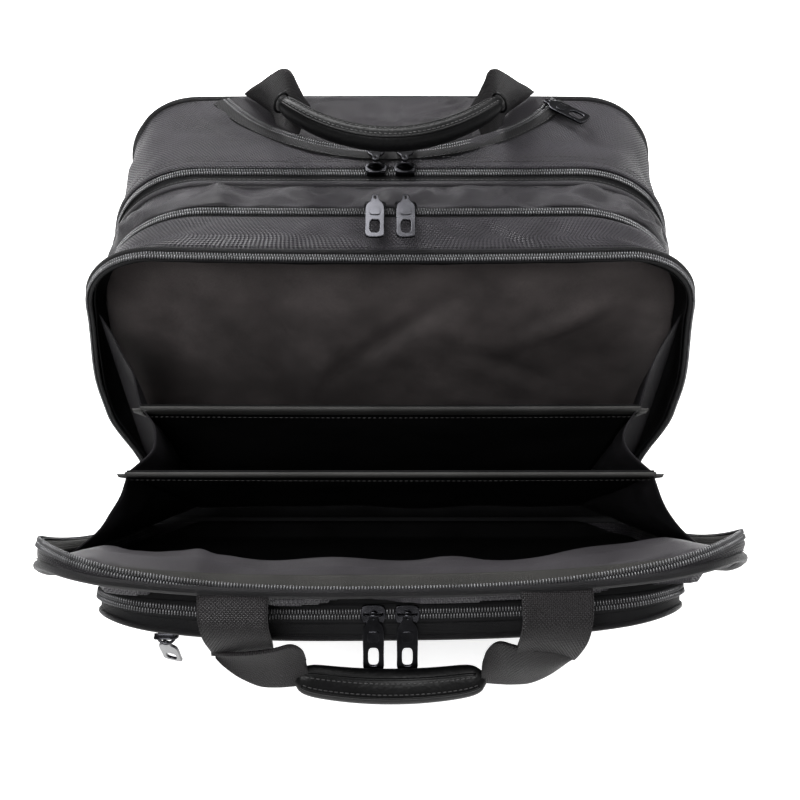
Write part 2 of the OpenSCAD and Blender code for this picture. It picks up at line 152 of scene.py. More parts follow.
def creases(u, v, seed, count, length, slant=0.9):
    """Scattered soft folds about one height unit tall, running mostly at a slant to u."""
    rng = np.random.RandomState(seed)
    u, v = np.broadcast_arrays(u, v)
    total = np.zeros(u.shape)
    for _ in range(count):
        u0, v0 = rng.uniform(u.min(), u.max()), rng.uniform(v.min(), v.max())
        angle = rng.choice([-1, 1]) * rng.uniform(0.35, slant)
        long, wide = length * rng.uniform(0.5, 1.2), length * rng.uniform(0.10, 0.2)
        along = (u - u0) * math.cos(angle) + (v - v0) * math.sin(angle)
        off = (v - v0) * math.cos(angle) - (u - u0) * math.sin(angle)
        total += rng.uniform(-0.8, 1.0) * np.exp(-((along / long) ** 2) - (off / wide) ** 2)
    return total


def unit(v):
    return v / np.maximum(np.linalg.norm(v, axis=-1, keepdims=True), 1e-12)


def lengths(path):
    """Distance along a path at each of its points."""
    steps = np.linalg.norm(np.diff(path, axis=0), axis=1)
    return np.concatenate([[0], np.cumsum(steps)])


def resample(path, pitch, *others):
    """Points every pitch along a path, with any other rows read at the same places."""
    s = lengths(path)
    n = max(2, int(round(s[-1] / pitch)))
    at = (np.arange(n) + 0.5) * s[-1] / n
    return [np.stack([np.interp(at, s, column) for column in rows.T], axis=1) for rows in (path,) + others]


def curve_through(points, n):
    """A smooth curve of n points through a few given ones."""
    p = np.array(points, float)
    p = np.vstack([2 * p[0] - p[1], p, 2 * p[-1] - p[-2]])
    at = np.linspace(0, len(points) - 1 - 1e-9, n)
    k = at.astype(int)
    f = (at - k)[:, None]
    a, b, c, d = p[k], p[k + 1], p[k + 2], p[k + 3]
    return 0.5 * (2 * b + (c - a) * f + (2 * a - 5 * b + 4 * c - d) * f * f + (3 * b - a - 3 * c + d) * f**3)


def folded(x, d, h, degrees):
    """A point of something drawn closed behind the hinge line, folded open by an angle."""
    x, d, h, a = np.broadcast_arrays(x, d, h, np.radians(degrees))
    y = FRONT_Y + d * np.cos(a) - h * np.sin(a)
    return np.stack([x, y, HINGE_Z + h * np.cos(a) + d * np.sin(a)], axis=-1)


def heading(d, h, degrees):
    """The direction that d through a folded sheet, or h up along it, takes when it is folded open."""
    return folded(0.0, d, h, degrees) - folded(0.0, 0.0, 0.0, degrees)


def side_name(s):
    return "left" if s < 0 else "right"


# ---- materials ----
CLOUD_SCALE, FUZZ_SCALE = 28.0, 900.0
THREAD_SHARE, CLOUD_SHARE, FUZZ_SHARE = 0.45, 0.75, 0.25
DARK_THREAD, PALE_THREAD = 0.35, 1.75
TONE_LOW, TONE_HIGH = 0.35, 1.15
# Painted shade on the standing lining: its colour darkens from just below the top down towards its foot.
SHADE_START, SHADE_RUN, SHADE_MOST = TOP - 0.02, 0.1, 1.2
GRAIN_SCALE = 560.0


def nodes_of(name):
    mat = bpy.data.materials.new(name)
    mat.use_nodes = True
    tree = mat.node_tree
    return mat, tree, tree.nodes["Principled BSDF"]


def link(tree, a, b):
    tree.links.new(a, b)


def math_node(tree, kind, a, b=None):
    n = tree.nodes.new("ShaderNodeMath")
    n.operation = kind
    for k, value in enumerate((a, b)):
        if isinstance(value, (int, float)):
            n.inputs[k].default_value = value
        elif value is not None:
            link(tree, value, n.inputs[k])
    return n.outputs[0]


def noise(tree, vector, scale, detail=3.0):
    n = tree.nodes.new("ShaderNodeTexNoise")
    n.inputs["Scale"].default_value = scale
    n.inputs["Detail"].default_value = detail
    link(tree, vector, n.inputs["Vector"])
    return n.outputs["Fac"]


def ramp(tree, factor, low, high, start=0.3, end=0.7):
    r = tree.nodes.new("ShaderNodeValToRGB")
    for element, place, color in zip(r.color_ramp.elements, (start, end), (low, high)):
        element.position = place
        element.color = (*color, 1)
    link(tree, factor, r.inputs["Fac"])
    return r.outputs["Color"]


def bump(tree, height, strength, distance, below=None):
    b = tree.nodes.new("ShaderNodeBump")
    b.inputs["Strength"].default_value = strength
    b.inputs["Distance"].default_value = distance
    link(tree, height, b.inputs["Height"])
    if below is not None:
        link(tree, below, b.inputs["Normal"])
    return b.outputs["Normal"]


def shade(color, k):
    return tuple(c * k for c in color)


def weave(tree, u, v, pitch):
    """The height of a plain weave, whose threads run both ways and pass over each other in turn."""
    turn = 2 * math.pi / pitch
    warp, weft = [math_node(tree, "SINE", math_node(tree, "MULTIPLY", place, turn)) for place in (u, v)]
    mix = tree.nodes.new("ShaderNodeMix")
    link(tree, math_node(tree, "GREATER_THAN", math_node(tree, "MULTIPLY", warp, weft), 0.0), mix.inputs[0])
    link(tree, math_node(tree, "ABSOLUTE", warp), mix.inputs[2])
    link(tree, math_node(tree, "ABSOLUTE", weft), mix.inputs[3])
    return mix.outputs[0]


def painted_shade_below(tree, place, amount):
    """Painted shade: grows from nothing at the top of a standing cloth to the full amount some way below, darkening
    the cloth there.
    """
    height = tree.nodes.new("ShaderNodeSeparateXYZ")
    link(tree, place.outputs["Object"], height.inputs[0])
    share = math_node(tree, "MULTIPLY", math_node(tree, "SUBTRACT", SHADE_START, height.outputs[2]), 1 / SHADE_RUN)
    kept = math_node(tree, "MINIMUM", math_node(tree, "MAXIMUM", share, 0.0), SHADE_MOST)
    return math_node(tree, "MULTIPLY", kept, amount)


def woven(name, color, pitch, depth, rough, sheen=0.0, shine=0.3, use_uv=True, painted_shade=0.0):
    """Plain weave with a pitch and depth in millimetres, slightly uneven in tone and polish, with painted shade
    towards its foot if asked.
    """
    mat, tree, bsdf = nodes_of(name)
    place = tree.nodes.new("ShaderNodeTexCoord")
    parts = tree.nodes.new("ShaderNodeSeparateXYZ")
    link(tree, place.outputs["UV" if use_uv else "Object"], parts.inputs[0])
    height = weave(tree, parts.outputs[0], parts.outputs[1 if use_uv else 2], pitch * MM)
    cloud = noise(tree, place.outputs["Object"], CLOUD_SCALE, 4.0)
    fuzz = noise(tree, place.outputs["Object"], FUZZ_SCALE, 2.0)
    tone, clouds, hairs = (
        math_node(tree, "MULTIPLY", value, share)
        for value, share in ((height, THREAD_SHARE), (cloud, CLOUD_SHARE), (fuzz, FUZZ_SHARE))
    )
    tone = math_node(tree, "ADD", math_node(tree, "ADD", tone, clouds), hairs)
    # Painted shade, darker further down the cloth.
    if painted_shade:
        tone = math_node(tree, "SUBTRACT", tone, painted_shade_below(tree, place, painted_shade))
    dark, pale = shade(color, DARK_THREAD), shade(color, PALE_THREAD)
    link(tree, ramp(tree, tone, dark, pale, TONE_LOW, TONE_HIGH), bsdf.inputs["Base Color"])
    polish = math_node(tree, "ADD", math_node(tree, "MULTIPLY", cloud, 0.22), rough - 0.11)
    link(tree, polish, bsdf.inputs["Roughness"])
    soft = bump(tree, cloud, 0.25, 0.6 * MM)
    link(tree, bump(tree, height, 0.9, depth * MM, soft), bsdf.inputs["Normal"])
    bsdf.inputs["Sheen Weight"].default_value = sheen
    bsdf.inputs["Sheen Roughness"].default_value = 0.45
    bsdf.inputs["Sheen Tint"].default_value = (0.75, 0.75, 0.8, 1)
    bsdf.inputs["Specular IOR Level"].default_value = shine
    return mat


def pebbled(name, color):
    """Leather-like coating with small round grains."""
    mat, tree, bsdf = nodes_of(name)
    place = tree.nodes.new("ShaderNodeTexCoord")
    cells = tree.nodes.new("ShaderNodeTexVoronoi")
    cells.feature = "SMOOTH_F1"
    cells.inputs["Scale"].default_value = GRAIN_SCALE
    link(tree, place.outputs["Object"], cells.inputs["Vector"])
    grain = math_node(tree, "SUBTRACT", 1.0, cells.outputs["Distance"])
    cloud = noise(tree, place.outputs["Object"], 60.0)
    tone = math_node(tree, "MULTIPLY", grain, cloud)
    link(tree, ramp(tree, tone, shade(color, 0.6), shade(color, 1.5), 0.2, 0.7), bsdf.inputs["Base Color"])
    polish = math_node(tree, "ADD", math_node(tree, "MULTIPLY", cloud, 0.2), 0.34)
    link(tree, polish, bsdf.inputs["Roughness"])
    soft = bump(tree, cloud, 0.3, 0.5 * MM)
    link(tree, bump(tree, grain, 0.7, 0.22 * MM, soft), bsdf.inputs["Normal"])
    bsdf.inputs["Specular IOR Level"].default_value = 0.13
    return mat


def plain(name, color, rough, metal=0.0, grain=120.0, strength=0.15):
    """Smooth plastic, thread or plated metal with faint marks of use."""
    mat, tree, bsdf = nodes_of(name)
    place = tree.nodes.new("ShaderNodeTexCoord")
    cloud = noise(tree, place.outputs["Object"], grain, 4.0)
    link(tree, ramp(tree, cloud, shade(color, 0.75), shade(color, 1.3)), bsdf.inputs["Base Color"])
    polish = math_node(tree, "ADD", math_node(tree, "MULTIPLY", cloud, 0.2), rough - 0.1)
    link(tree, polish, bsdf.inputs["Roughness"])
    link(tree, bump(tree, cloud, strength, 0.2 * MM), bsdf.inputs["Normal"])
    bsdf.inputs["Metallic"].default_value = metal
    return mat


# Weave pitch and depth are in millimetres.
NYLON = woven("ballistic_nylon", (0.0165, 0.0149, 0.0182), 2.5, 1.2, 0.50, sheen=0.03, shine=0.32)
NYLON_SOFT = woven("plain_nylon", (0.0138, 0.0125, 0.0149), 1.2, 0.3, 0.42, sheen=0.03, shine=0.38)
SATIN = woven("pocket_satin", (0.0100, 0.0089, 0.0107), 0.9, 0.15, 0.36, shine=0.27)
# The lining's colour is darkened towards its foot as painted shade.
LINING = woven("lining_satin", (0.078, 0.0672, 0.0665), 1.0, 0.15, 0.45, sheen=0.02, painted_shade=0.4)
PANEL_LINING = woven("panel_lining_cloth", (0.0165, 0.015, 0.0172), 1.0, 0.15, 0.42)
DIVIDER = woven("divider_cloth", (0.0035, 0.0035, 0.0037), 1.2, 0.15, 0.75, shine=0.03)
PLEAT = woven("pleat_cloth", (0.0085, 0.008, 0.009), 1.3, 0.4, 0.7, shine=0.05)
HEM = woven("hem_binding", (0.0185, 0.0182, 0.0175), 1.4, 0.3, 0.55)
TAPE = woven("zip_tape", (0.0048, 0.0048, 0.0052), 1.3, 0.25, 0.6, shine=0.12)
GUSSET = woven("panel_side_nylon", (0.0098, 0.0090, 0.0106), 2.5, 1.2, 0.52, shine=0.2)
PIPING = woven("piping_cover", (0.0058, 0.0056, 0.0062), 1.3, 0.35, 0.46, shine=0.18)
WEBBING = woven("webbing", (0.0078, 0.0071, 0.0076), 2.1, 0.8, 0.48, shine=0.18)
BASE = woven("base_cloth", (0.0085, 0.0083, 0.0088), 1.8, 0.5, 0.55, shine=0.2)
LEATHER = pebbled("leatherette", (0.0016, 0.0016, 0.0018))
COIL = plain("coil", (0.075, 0.075, 0.078), 0.24, strength=0.05, metal=0.35)
THREAD = plain("thread", (0.012, 0.0115, 0.012), 0.5, grain=800.0)
METAL = plain("gunmetal", (0.026, 0.026, 0.029), 0.24, metal=1.0, strength=0.08)
PAD_NYLON = woven("pad_nylon", (0.0145, 0.0130, 0.0152), 2.5, 1.2, 0.50, sheen=0.03, shine=0.32, use_uv=False)
BINDING = woven("inner_binding", (0.0145, 0.0140, 0.0130), 1.5, 0.4, 0.6, shine=0.25)


# ---- mesh helpers ----
def make(name, verts, faces, material, body=None, uv=None):
    """A mesh object in the row frame, riding on a body."""
    mesh = bpy.data.meshes.new(name)
    mesh.from_pydata(np.asarray(verts).tolist(), [], [list(map(int, f)) for f in faces])
    mesh.materials.append(material)
    mesh.polygons.foreach_set("use_smooth", np.ones(len(mesh.polygons), bool))
    if uv is not None:
        layer = mesh.uv_layers.new(name="UVMap")
        corners = np.zeros(len(mesh.loops), np.int32)
        mesh.loops.foreach_get("vertex_index", corners)
        layer.data.foreach_set("uv", np.asarray(uv)[corners].astype(np.float32).ravel())
    mesh.update()
    obj = bpy.data.objects.new(name, mesh)
    bpy.context.scene.collection.objects.link(obj)
    if body:
        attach(obj, body)
    return obj


def finished(obj, node=()):
    """Hides the CAD nodes that a piece stands for."""
    if node:
        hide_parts(*((node,) if isinstance(node, str) else node))
    return obj


def quads(n, m, offset=0, closed=False):
    """Faces of an n by m grid, closed round its first direction if asked."""
    i, j = np.meshgrid(np.arange(n if closed else n - 1), np.arange(m - 1), indexing="ij")
    i, j = i.ravel(), j.ravel()
    k = (i + 1) % n
    return np.stack([i * m + j, i * m + j + 1, k * m + j + 1, k * m + j], axis=1) + offset


def rim(a, b, offset):
    """Faces that join the edges from a to b to the same edges, offset points on."""
    return np.stack([a, b, b + offset, a + offset], axis=1)


def hoops(n, sides, closed=False):
    """Faces between n rings of points, closed along their row if asked."""
    at = np.arange(n * sides).reshape(n, sides)
    ahead = np.roll(at, -1, 0)
    faces = np.stack([at, np.roll(at, -1, 1), np.roll(ahead, -1, 1), ahead], axis=-1)
    return faces[: n if closed else n - 1].reshape(-1, 4)


def grid_normals(grid):
    return unit(np.cross(np.gradient(grid, axis=0), np.gradient(grid, axis=1)))


def shell(name, outer, thickness, material, body, node=(), closed=False, out=None):
    """A cloth of even thickness below a grid of points. out points to its outer side, once or at each point."""
    n, m = outer.shape[:2]
    k = n * m
    wrapped = np.concatenate([outer[-1:], outer, outer[:1]]) if closed else outer
    normal = grid_normals(wrapped)[1:-1] if closed else grid_normals(outer)
    if out is not None and np.sum(normal * out) < 0:
        outer, normal = outer[:, ::-1], -normal[:, ::-1]
    u, v = lengths(outer[:, m // 2])[:, None], lengths(outer[n // 2])[None, :]
    uv = np.stack(np.broadcast_arrays(u, v), axis=-1).reshape(-1, 2)
    i, j = np.arange(n if closed else n - 1) * m, np.arange(m - 1)
    ahead = (i + m) % k
    faces = [*quads(n, m, 0, closed), *quads(n, m, k, closed)[:, ::-1]]
    faces += [*rim(i, ahead, k), *rim(i + m - 1, ahead + m - 1, k)[:, ::-1]]
    if not closed:
        faces += [*rim(j, j + 1, k)[:, ::-1], *rim(k - m + j, k - m + j + 1, k)]
    verts = np.concatenate([outer.reshape(-1, 3), (outer - normal * thickness).reshape(-1, 3)])
    return finished(make(name, verts, faces, material, body, np.concatenate([uv, uv])), node)


def tube(name, path, radius, material, body, slot, node=(), sides=10, closed=False, flat=1.0, up=(0, 0, 1)):
    """A round or oval cord along a path."""
    n = len(path)
    radius = np.broadcast_to(radius, (n,))[:, None]
    step = np.roll(path, -1, 0) - np.roll(path, 1, 0) if closed else np.gradient(path, axis=0)
    tangent = unit(step)
    side = unit(np.cross(tangent, np.asarray(up, float)))
    lift = np.cross(side, tangent)
    turns = 2 * math.pi * np.arange(sides) / sides
    rings = [path + radius * (math.cos(a) * side + flat * math.sin(a) * lift) for a in turns]
    faces = [*hoops(n, sides, closed)[:, [0, 3, 2, 1]]]
    if not closed:
        faces += [range(sides), range(n * sides - 1, (n - 1) * sides - 1, -1)]
    around = 2 * math.pi * float(np.mean(radius)) / sides
    uv = np.broadcast_arrays(lengths(path)[:, None], np.arange(sides)[None, :] * around)
    uv = np.stack(uv, axis=-1).reshape(-1, 2)
    return finished(make(name, np.stack(rings, axis=1).reshape(-1, 3), faces, material, body, uv), node)


BEAD_PLACES, BEAD_SWELL, BEAD_SIDES = (-0.5, -0.34, 0.34, 0.5), (0.45, 1.0, 1.0, 0.45), 6


def beads(name, centres, along, up, length, width, height, material, body, slot):
    """Many small rounded bars: coil teeth or stitches."""
    along = unit(np.broadcast_to(np.asarray(along, float), centres.shape))
    side = unit(np.cross(np.broadcast_to(np.asarray(up, float), centres.shape), along))
    up = np.cross(along, side)
    base = []
    for place, swell in zip(BEAD_PLACES, BEAD_SWELL):
        for a in 2 * math.pi * (np.arange(BEAD_SIDES) + 0.5) / BEAD_SIDES:
            base.append((place * length, 0.5 * swell * width * math.cos(a), 0.5 * swell * height * math.sin(a)))
    base = np.array(base)
    rows = len(BEAD_PLACES)
    ends = [range(BEAD_SIDES)[::-1], range((rows - 1) * BEAD_SIDES, rows * BEAD_SIDES)]
    one = [np.array(f) for f in (*hoops(rows, BEAD_SIDES), *ends)]
    verts = centres[:, None] + base[None, :, :1] * along[:, None]
    verts = verts + base[None, :, 1:2] * side[:, None] + base[None, :, 2:] * up[:, None]
    faces = [f + i * len(base) for i in range(len(centres)) for f in one]
    return make(name, verts.reshape(-1, 3), faces, material, body)


def stitches(name, path, up, body, pitch=3.4 * MM, length=2.3 * MM, width=0.55 * MM):
    """A row of stitches lying on a cloth."""
    at, normal = resample(path, pitch, np.broadcast_to(np.asarray(up, float), path.shape))
    ahead = np.gradient(at, axis=0)
    return beads(name, at, ahead, unit(normal), length, width, width * 0.8, THREAD, body, "ballistic_nylon")


COIL_PITCH, COIL_OFFSET = 1.75 * MM, 1.55 * MM
COIL_BAR = mm(3.1, 1.15, 2.0)


def chain(name, path, up, body):
    """The interlocked coils of a closed zip."""
    at, normal = resample(path, COIL_PITCH, up)
    normal = unit(normal)
    ahead = unit(np.gradient(at, axis=0))
    across = unit(np.cross(normal, ahead))
    rows = [at + across * side * COIL_OFFSET + ahead * (0.25 * COIL_PITCH * side) for side in (-1, 1)]
    centres, along, ups = np.concatenate(rows), np.tile(across, (2, 1)), np.tile(normal, (2, 1))
    return beads(name, centres, along, ups, *COIL_BAR, COIL, body, "zip_coil")


def set_blend(weight):
    """Works out, for both sides of a two-sided cloth, how far each point would follow the second of the bodies that
    it blends; the weights are not kept.
    """
    weight = np.concatenate([weight.ravel(), weight.ravel()])


# ---- the body's outline ----
SIDE_N, ARC_N, TOP_N = 50, 22, 74
BELLY_LOW, BELLY_LOW_RUN = 95 * MM, 70 * MM
BELLY_HIGH, BELLY_HIGH_RUN = 190 * MM, 105 * MM
MIDDLE_DROP, LIP_DROP, LIP_MIDDLE, REAR_RISE = mm(1.5, 5.0, 2.5, 3.2)


def arch(half_w, top, radius, low):
    """(x, z) and outward normals up one side, over the top and down the other."""
    z = np.linspace(low, top - radius, SIDE_N, endpoint=False)
    a = np.linspace(0, math.pi / 2, ARC_N, endpoint=False)
    x = np.linspace(-half_w + radius, 0, TOP_N // 2, endpoint=False)
    corner = np.stack([-half_w + radius - radius * np.cos(a), top - radius + radius * np.sin(a)], 1)
    left = [np.stack([np.full_like(z, -half_w), z], 1), corner, np.stack([x, np.full_like(x, top)], 1)]
    out = [(-np.ones_like(z), 0 * z), (-np.cos(a), np.sin(a)), (0 * x, np.ones_like(x))]
    left, out = np.concatenate(left), np.concatenate([np.stack(pair, 1) for pair in out])
    mirror = np.array([-1, 1])
    points = np.concatenate([left, [[0, top]], (left * mirror)[::-1]])
    return points, np.concatenate([out, [[0, 1]], (out * mirror)[::-1]])


def corner_radius(y):
    """The soft upper corners sink most between the stiff piped edges."""
    return float(np.interp(y, *RADIUS_AT_Y))


def half_width(y):
    return float(np.interp(y, *HALF_W_AT_Y))


def bulge(y, z):
    """How far the soft sides belly out between the base and the shoulders, most at the open lip."""
    lip = 0.35 + 0.65 * smooth((-40 * MM - y) / (40 * MM))
    rise, fall = smooth((z - BELLY_LOW) / BELLY_LOW_RUN), smooth((z - BELLY_HIGH) / BELLY_HIGH_RUN)
    return SIDE_BULGE * lip * rise * (1 - fall)


def body_sag(x, y, z):
    """How far the soft top hangs below its straight line."""
    near_top = smooth((z - (TOP - SAG_ZONE)) / SAG_ZONE)
    across = np.clip(1 - (np.abs(x) / (185 * MM)) ** 2.2, 0, 1)
    at_lip = smooth((LIP_START - y) / LIP_RUN)
    drop = MIDDLE_DROP * smooth((BACK_Y - y) / (80 * MM)) * across
    rise = REAR_RISE * smooth((y - 52 * MM) / (28 * MM)) * across**0.3
    return near_top * (drop + LIP_DROP * at_lip + LIP_MIDDLE * at_lip * across - rise)


def body_grid(ys, lift, low=BASE_TOP):
    """Points over the arch at each depth in ys, lifted outwards by a number or by an array of the grid's shape."""
    rows, normals = [], []
    for y in ys:
        p, n = arch(half_width(y), TOP, corner_radius(y), low)
        rows.append(np.stack([p[:, 0], np.full(len(p), y), p[:, 1]], 1))
        normals.append(np.stack([n[:, 0], 0 * n[:, 0], n[:, 1]], 1))
    normal = np.stack(normals, axis=1)
    grid = np.stack(rows, axis=1) + normal * np.asarray(lift)[..., None]
    x, y, z = np.moveaxis(grid, -1, 0)
    x += np.sign(x) * bulge(y, z) * np.clip(np.abs(x) / (150 * MM), 0, 1)
    z -= body_sag(x, y, z)
    return grid, normal


def body_path(y, lift):
    grid, normal = body_grid(np.array([y, y + 0.1 * MM]), lift)
    return grid[:, 0], normal[:, 0]


# ---- body ----
def strip(name, node, y0, y1, material, seed, crown, waves, wave_size=45, step=3, lift=0):
    """A strip of the body's cloth between two seams, puffed and softly wrinkled by sizes in millimetres."""
    crown, waves, wave_size, step, lift = (value * MM for value in (crown, waves, wave_size, step, lift))
    ys = np.linspace(y0, y1, max(5, int(abs(y1 - y0) / step) + 1))
    edge = np.sqrt(np.clip(np.sin(math.pi * (ys - y0) / (y1 - y0)), 0, 1))
    run = lengths(body_grid(ys, 0.0)[0][:, 0])[:, None]
    wave = ripple(run, ys[None, :] * 1.6, seed, wave_size)
    wave = wave + 1.1 * creases(run, ys[None, :], seed + 100, int(waves / (0.02 * MM)), 0.5 * wave_size)
    grid, normal = body_grid(ys, lift + edge[None, :] * (crown + waves * wave))
    shell(name, grid, CLOTH * 0.8, material, "bag", node, out=normal)


def piping(name, node, y, lift, radius, cover):
    """A covered cord round the body, with a row of stitches along each strip beside it."""
    tube(name, body_path(y, lift)[0], radius, cover, "bag", "piping_cord", node, up=(0, 1, 0))
    for side, letter in ((-1, "a"), (1, "b")):
        if side < 0 or y < BACK_SEAM_Y:
            stitches(f"{name}_stitch_{letter}", *body_path(y + side * 4.2 * MM, 1.0 * MM), "bag")


def build_body():
    """The strips, zips and piping from the back panel to the open front lip."""
    rear, mid, cord, lip = REAR_ZIP_Y, MIDDLE_ZIP_Y, MIDDLE_PIPING_Y, FRONT_PIPING_Y
    strip("rear_gusset_cloth", "rear_gusset", rear + 6 * MM, BACK_SEAM_Y, NYLON, 4, 1.6, 1.5, 80, 2.6)
    strip("rear_zip_tape", "rear_zip", cord + 2 * MM, rear + 6.2 * MM, TAPE, 5, -0.5, 0.1, step=2, lift=-0.6)
    seams = (mid + 5.5 * MM, cord - 1.6 * MM)
    strip("middle_gusset_rear_cloth", "middle_gusset_rear", *seams, NYLON_SOFT, 6, 1.2, 2.7, 38, 1.8)
    strip("middle_zip_tape", "middle_zip", mid - 5.5 * MM, mid + 5.7 * MM, TAPE, 7, -0.4, 0.1, step=2, lift=-0.6)
    seams = (lip + 1.6 * MM, mid - 5.3 * MM)
    strip("middle_gusset_front_cloth", "middle_gusset_front", *seams, NYLON, 8, 1.4, 2.0, 60, 2.2)
    strip("front_lip_tape", "front_zip_body_half", FRONT_Y, lip - 1.2 * MM, TAPE, 9, 0.2, 0.1, step=1.5, lift=-0.6)
    piping("rear_edge_piping", "rear_piping", BACK_SEAM_Y + 0.2 * MM, 0.2 * MM, 2.3 * MM, PIPING)
    piping("middle_edge_piping", "middle_piping", cord, 0.4 * MM, 2.0 * MM, NYLON_SOFT)
    piping("front_edge_piping", "front_piping", lip, 0.6 * MM, 2.2 * MM, PIPING)
    chain("rear_zip_chain", *body_path(rear, 0.5 * MM), "bag")
    chain("middle_zip_chain", *body_path(mid, 0.5 * MM), "bag")
    chain("front_zip_chain_on_body", *body_path(FRONT_Y + 2.6 * MM, 0.7 * MM), "bag")
    strip("rear_zip_cover", (), rear + 3.2 * MM, rear + 9.5 * MM, NYLON, 10, 1.0, 0.35, 60, 1.2, 1.7)
    for k, past_zip in enumerate(mm(11, 16)):
        stitches(f"rear_gusset_stitch_{k}", *body_path(rear + past_zip, 1.7 * MM), "bag")


def base_row(y):
    """(x, z) across the base at one depth, down a side, along the floor and up the other side."""
    hw = half_width(y) + 1.8 * MM
    a = np.linspace(0, math.pi / 2, 14)
    side_z = np.linspace(BASE_TOP + 2 * MM, LOW_R, 5, endpoint=False)
    floor_x = np.linspace(-hw + LOW_R, 0, 20)[1:]
    corner = np.stack([-hw + LOW_R - LOW_R * np.cos(a), LOW_R - LOW_R * np.sin(a)], 1)
    side, floor = np.stack([np.full(5, -hw), side_z], 1), np.stack([floor_x, 0 * floor_x], 1)
    left = np.concatenate([side, corner, floor])
    return np.concatenate([left, (left * [-1, 1])[::-1][1:]])


def build_base():
    """The wrapped base: a tub of coated cloth with rounded lower edges."""
    ys = np.linspace(FRONT_Y, BACK_SEAM_Y, 40)
    rows = [np.insert(base_row(y), 1, y, axis=1) for y in ys]
    grid = np.stack(rows, axis=1)
    shell("base_cloth_tub", grid, CLOTH, BASE, "bag", "base_panel", out=grid - 0.1 * UP)
    half = np.array([half_width(y) for y in ys]) + 0.2 * MM
    for k, drop in enumerate((1.5, 5.5)):
        for s, letter in ((-1, "l"), (1, "r")):
            edge = np.stack([s * half, ys, np.full(len(ys), BASE_TOP - drop * MM)], 1)
            stitches(f"base_stitch_{k}_{letter}", edge, (s, 0, 0), "bag")


LINING_LOW = 8 * MM


def inner_wall(name, node, waves, seed, belly=0.0):
    """A lining wall that fills the arch, with soft folds."""
    y = middle(node, 1)
    xs, vs = np.linspace(-1, 1, 120), np.linspace(0, 1, 90)
    grid = np.zeros((len(xs), len(vs), 3))
    r = corner_radius(y) - CLOTH
    hw, top = half_width(y) - CLOTH - LINING_GAP, TOP - CLOTH - LINING_GAP
    for i, s in enumerate(xs):
        corner = max(0.0, abs(s * hw) - (hw - r))
        high = top - r + math.sqrt(max(0.0, r**2 - corner**2))
        z = LINING_LOW + (high - LINING_LOW) * vs
        x = s * (hw + bulge(y, z))
        fade = np.sin(math.pi * vs) ** 0.5 * max(0.0, math.sin(math.pi * (s + 1) / 2)) ** 0.5
        grid[i] = np.stack([x, y - belly * fade, z - body_sag(x, y, z)], 1)
        grid[i, :, 1] += waves * fade * ripple(x, z * 0.8, seed, 120 * MM)
    fade = np.clip(1 - np.abs(xs) ** 6, 0, 1)[:, None] * np.sin(math.pi * vs)[None, :] ** 0.4
    grid[..., 1] -= 3.0 * waves * fade * creases(grid[..., 0], grid[..., 2], seed + 7, 22, 70 * MM, 1.4)
    wall = shell(name, grid, 1.2 * MM, LINING, "bag", node, out=np.array([0, -1.0, 0]))


def side_lining():
    """Dark cloth inside the front compartment's sides and top."""
    ys = np.linspace(FRONT_Y + 2 * MM, middle("organizer_wall", 1) - 1 * MM, 10)
    grid, normal = body_grid(ys, -CLOTH - 0.3 * MM, low=LINING_LOW)
    run = lengths(grid[:, 0])[:, None]
    grid -= normal * (0.5 * MM * (1 + ripple(run, ys[None, :], 23, 50 * MM)))[..., None]
    shell("front_side_lining", grid, 0.8 * MM, DIVIDER, "bag", out=normal)


def floor_lining():
    half = half_width(0) - 6 * MM
    x, y = np.meshgrid(np.linspace(-half, half, 30), np.linspace(FRONT_Y + 1 * MM, 78 * MM, 20), indexing="ij")
    z = 5.0 * MM + 18 * MM * smooth((np.abs(x) - 185 * MM) / (24 * MM))
    shell("floor_lining", np.stack([x, y, z], -1), 0.8 * MM, DIVIDER, "bag", out=UP)


def build_lining():
    inner_wall("organizer_lining", "organizer_wall", 1.5 * MM, 21, belly=3.0 * MM)
    inner_wall("laptop_lining", "laptop_wall", 0.8 * MM, 22)
    side_lining()
    floor_lining()


# ---- dividers ----
DIVIDERS = {
    "rear": dict(angle=REAR_ANGLE, d=16.2 * MM, half=161 * MM, top=250 * MM),
    "front": dict(angle=FRONT_ANGLE, d=7.2 * MM, half=167 * MM, top=250 * MM),
}
HEM_H = 13 * MM
HEM_SAG = 1.2 * MM
TAB_L = 7 * MM


def hem_drop(x, half):
    """How far a divider's bound edge sags at x."""
    return HEM_SAG * np.cos(x / (half * 1.01) * math.pi / 2)


def divider_hem(body, xs, angle, d, half, top):
    """The binding round a divider's upper edge."""
    a = np.linspace(-0.5 * math.pi, 1.5 * math.pi, 15)[:-1, None]
    depth = d - 0.8 * MM + 2.0 * MM * np.cos(a) * (0.75 + 0.25 * np.sin(a))
    height = top - hem_drop(xs, half) - HEM_H / 2 + HEM_H / 2 * np.sign(np.sin(a)) * np.abs(np.sin(a)) ** 0.5
    ring = folded(xs, depth, height, angle)
    out = ring - ring.mean(axis=0, keepdims=True)
    return shell(f"{body}_binding", ring, 0.5 * MM, HEM, body, f"{body}_hem", closed=True, out=out)


def divider_stitches(body, xs, angle, d, half, top):
    """A row of stitches along the foot of the binding, on both of its faces."""
    for side, depth, facing in (("back", d + 1.8 * MM, 1.0), ("front", d - 3.4 * MM, -1.0)):
        path = folded(xs, depth, top - HEM_H + 1.6 * MM, angle)
        path[:, 2] -= hem_drop(xs, half)
        stitches(f"{body}_stitch_{side}", path, heading(facing, 0.0, angle), body)


def divider_tab(body, s, angle, d, half, top):
    """The binding's end, which tapers into the pleat."""
    t, v = np.meshgrid(np.linspace(0, 1, 6), np.linspace(-1, 1, 5), indexing="ij")
    height = top - 2 * MM - (1 - t) * HEM_H * 0.9 * (v + 1) / 2 - 1 * MM * t
    tip = folded(s * (half + t * TAB_L), d - 0.5 * MM, height, angle)
    name = f"{body}_tab_{side_name(s)}"
    return shell(name, tip, 2.2 * MM, HEM, body, out=heading(0.0, 1.0, angle))


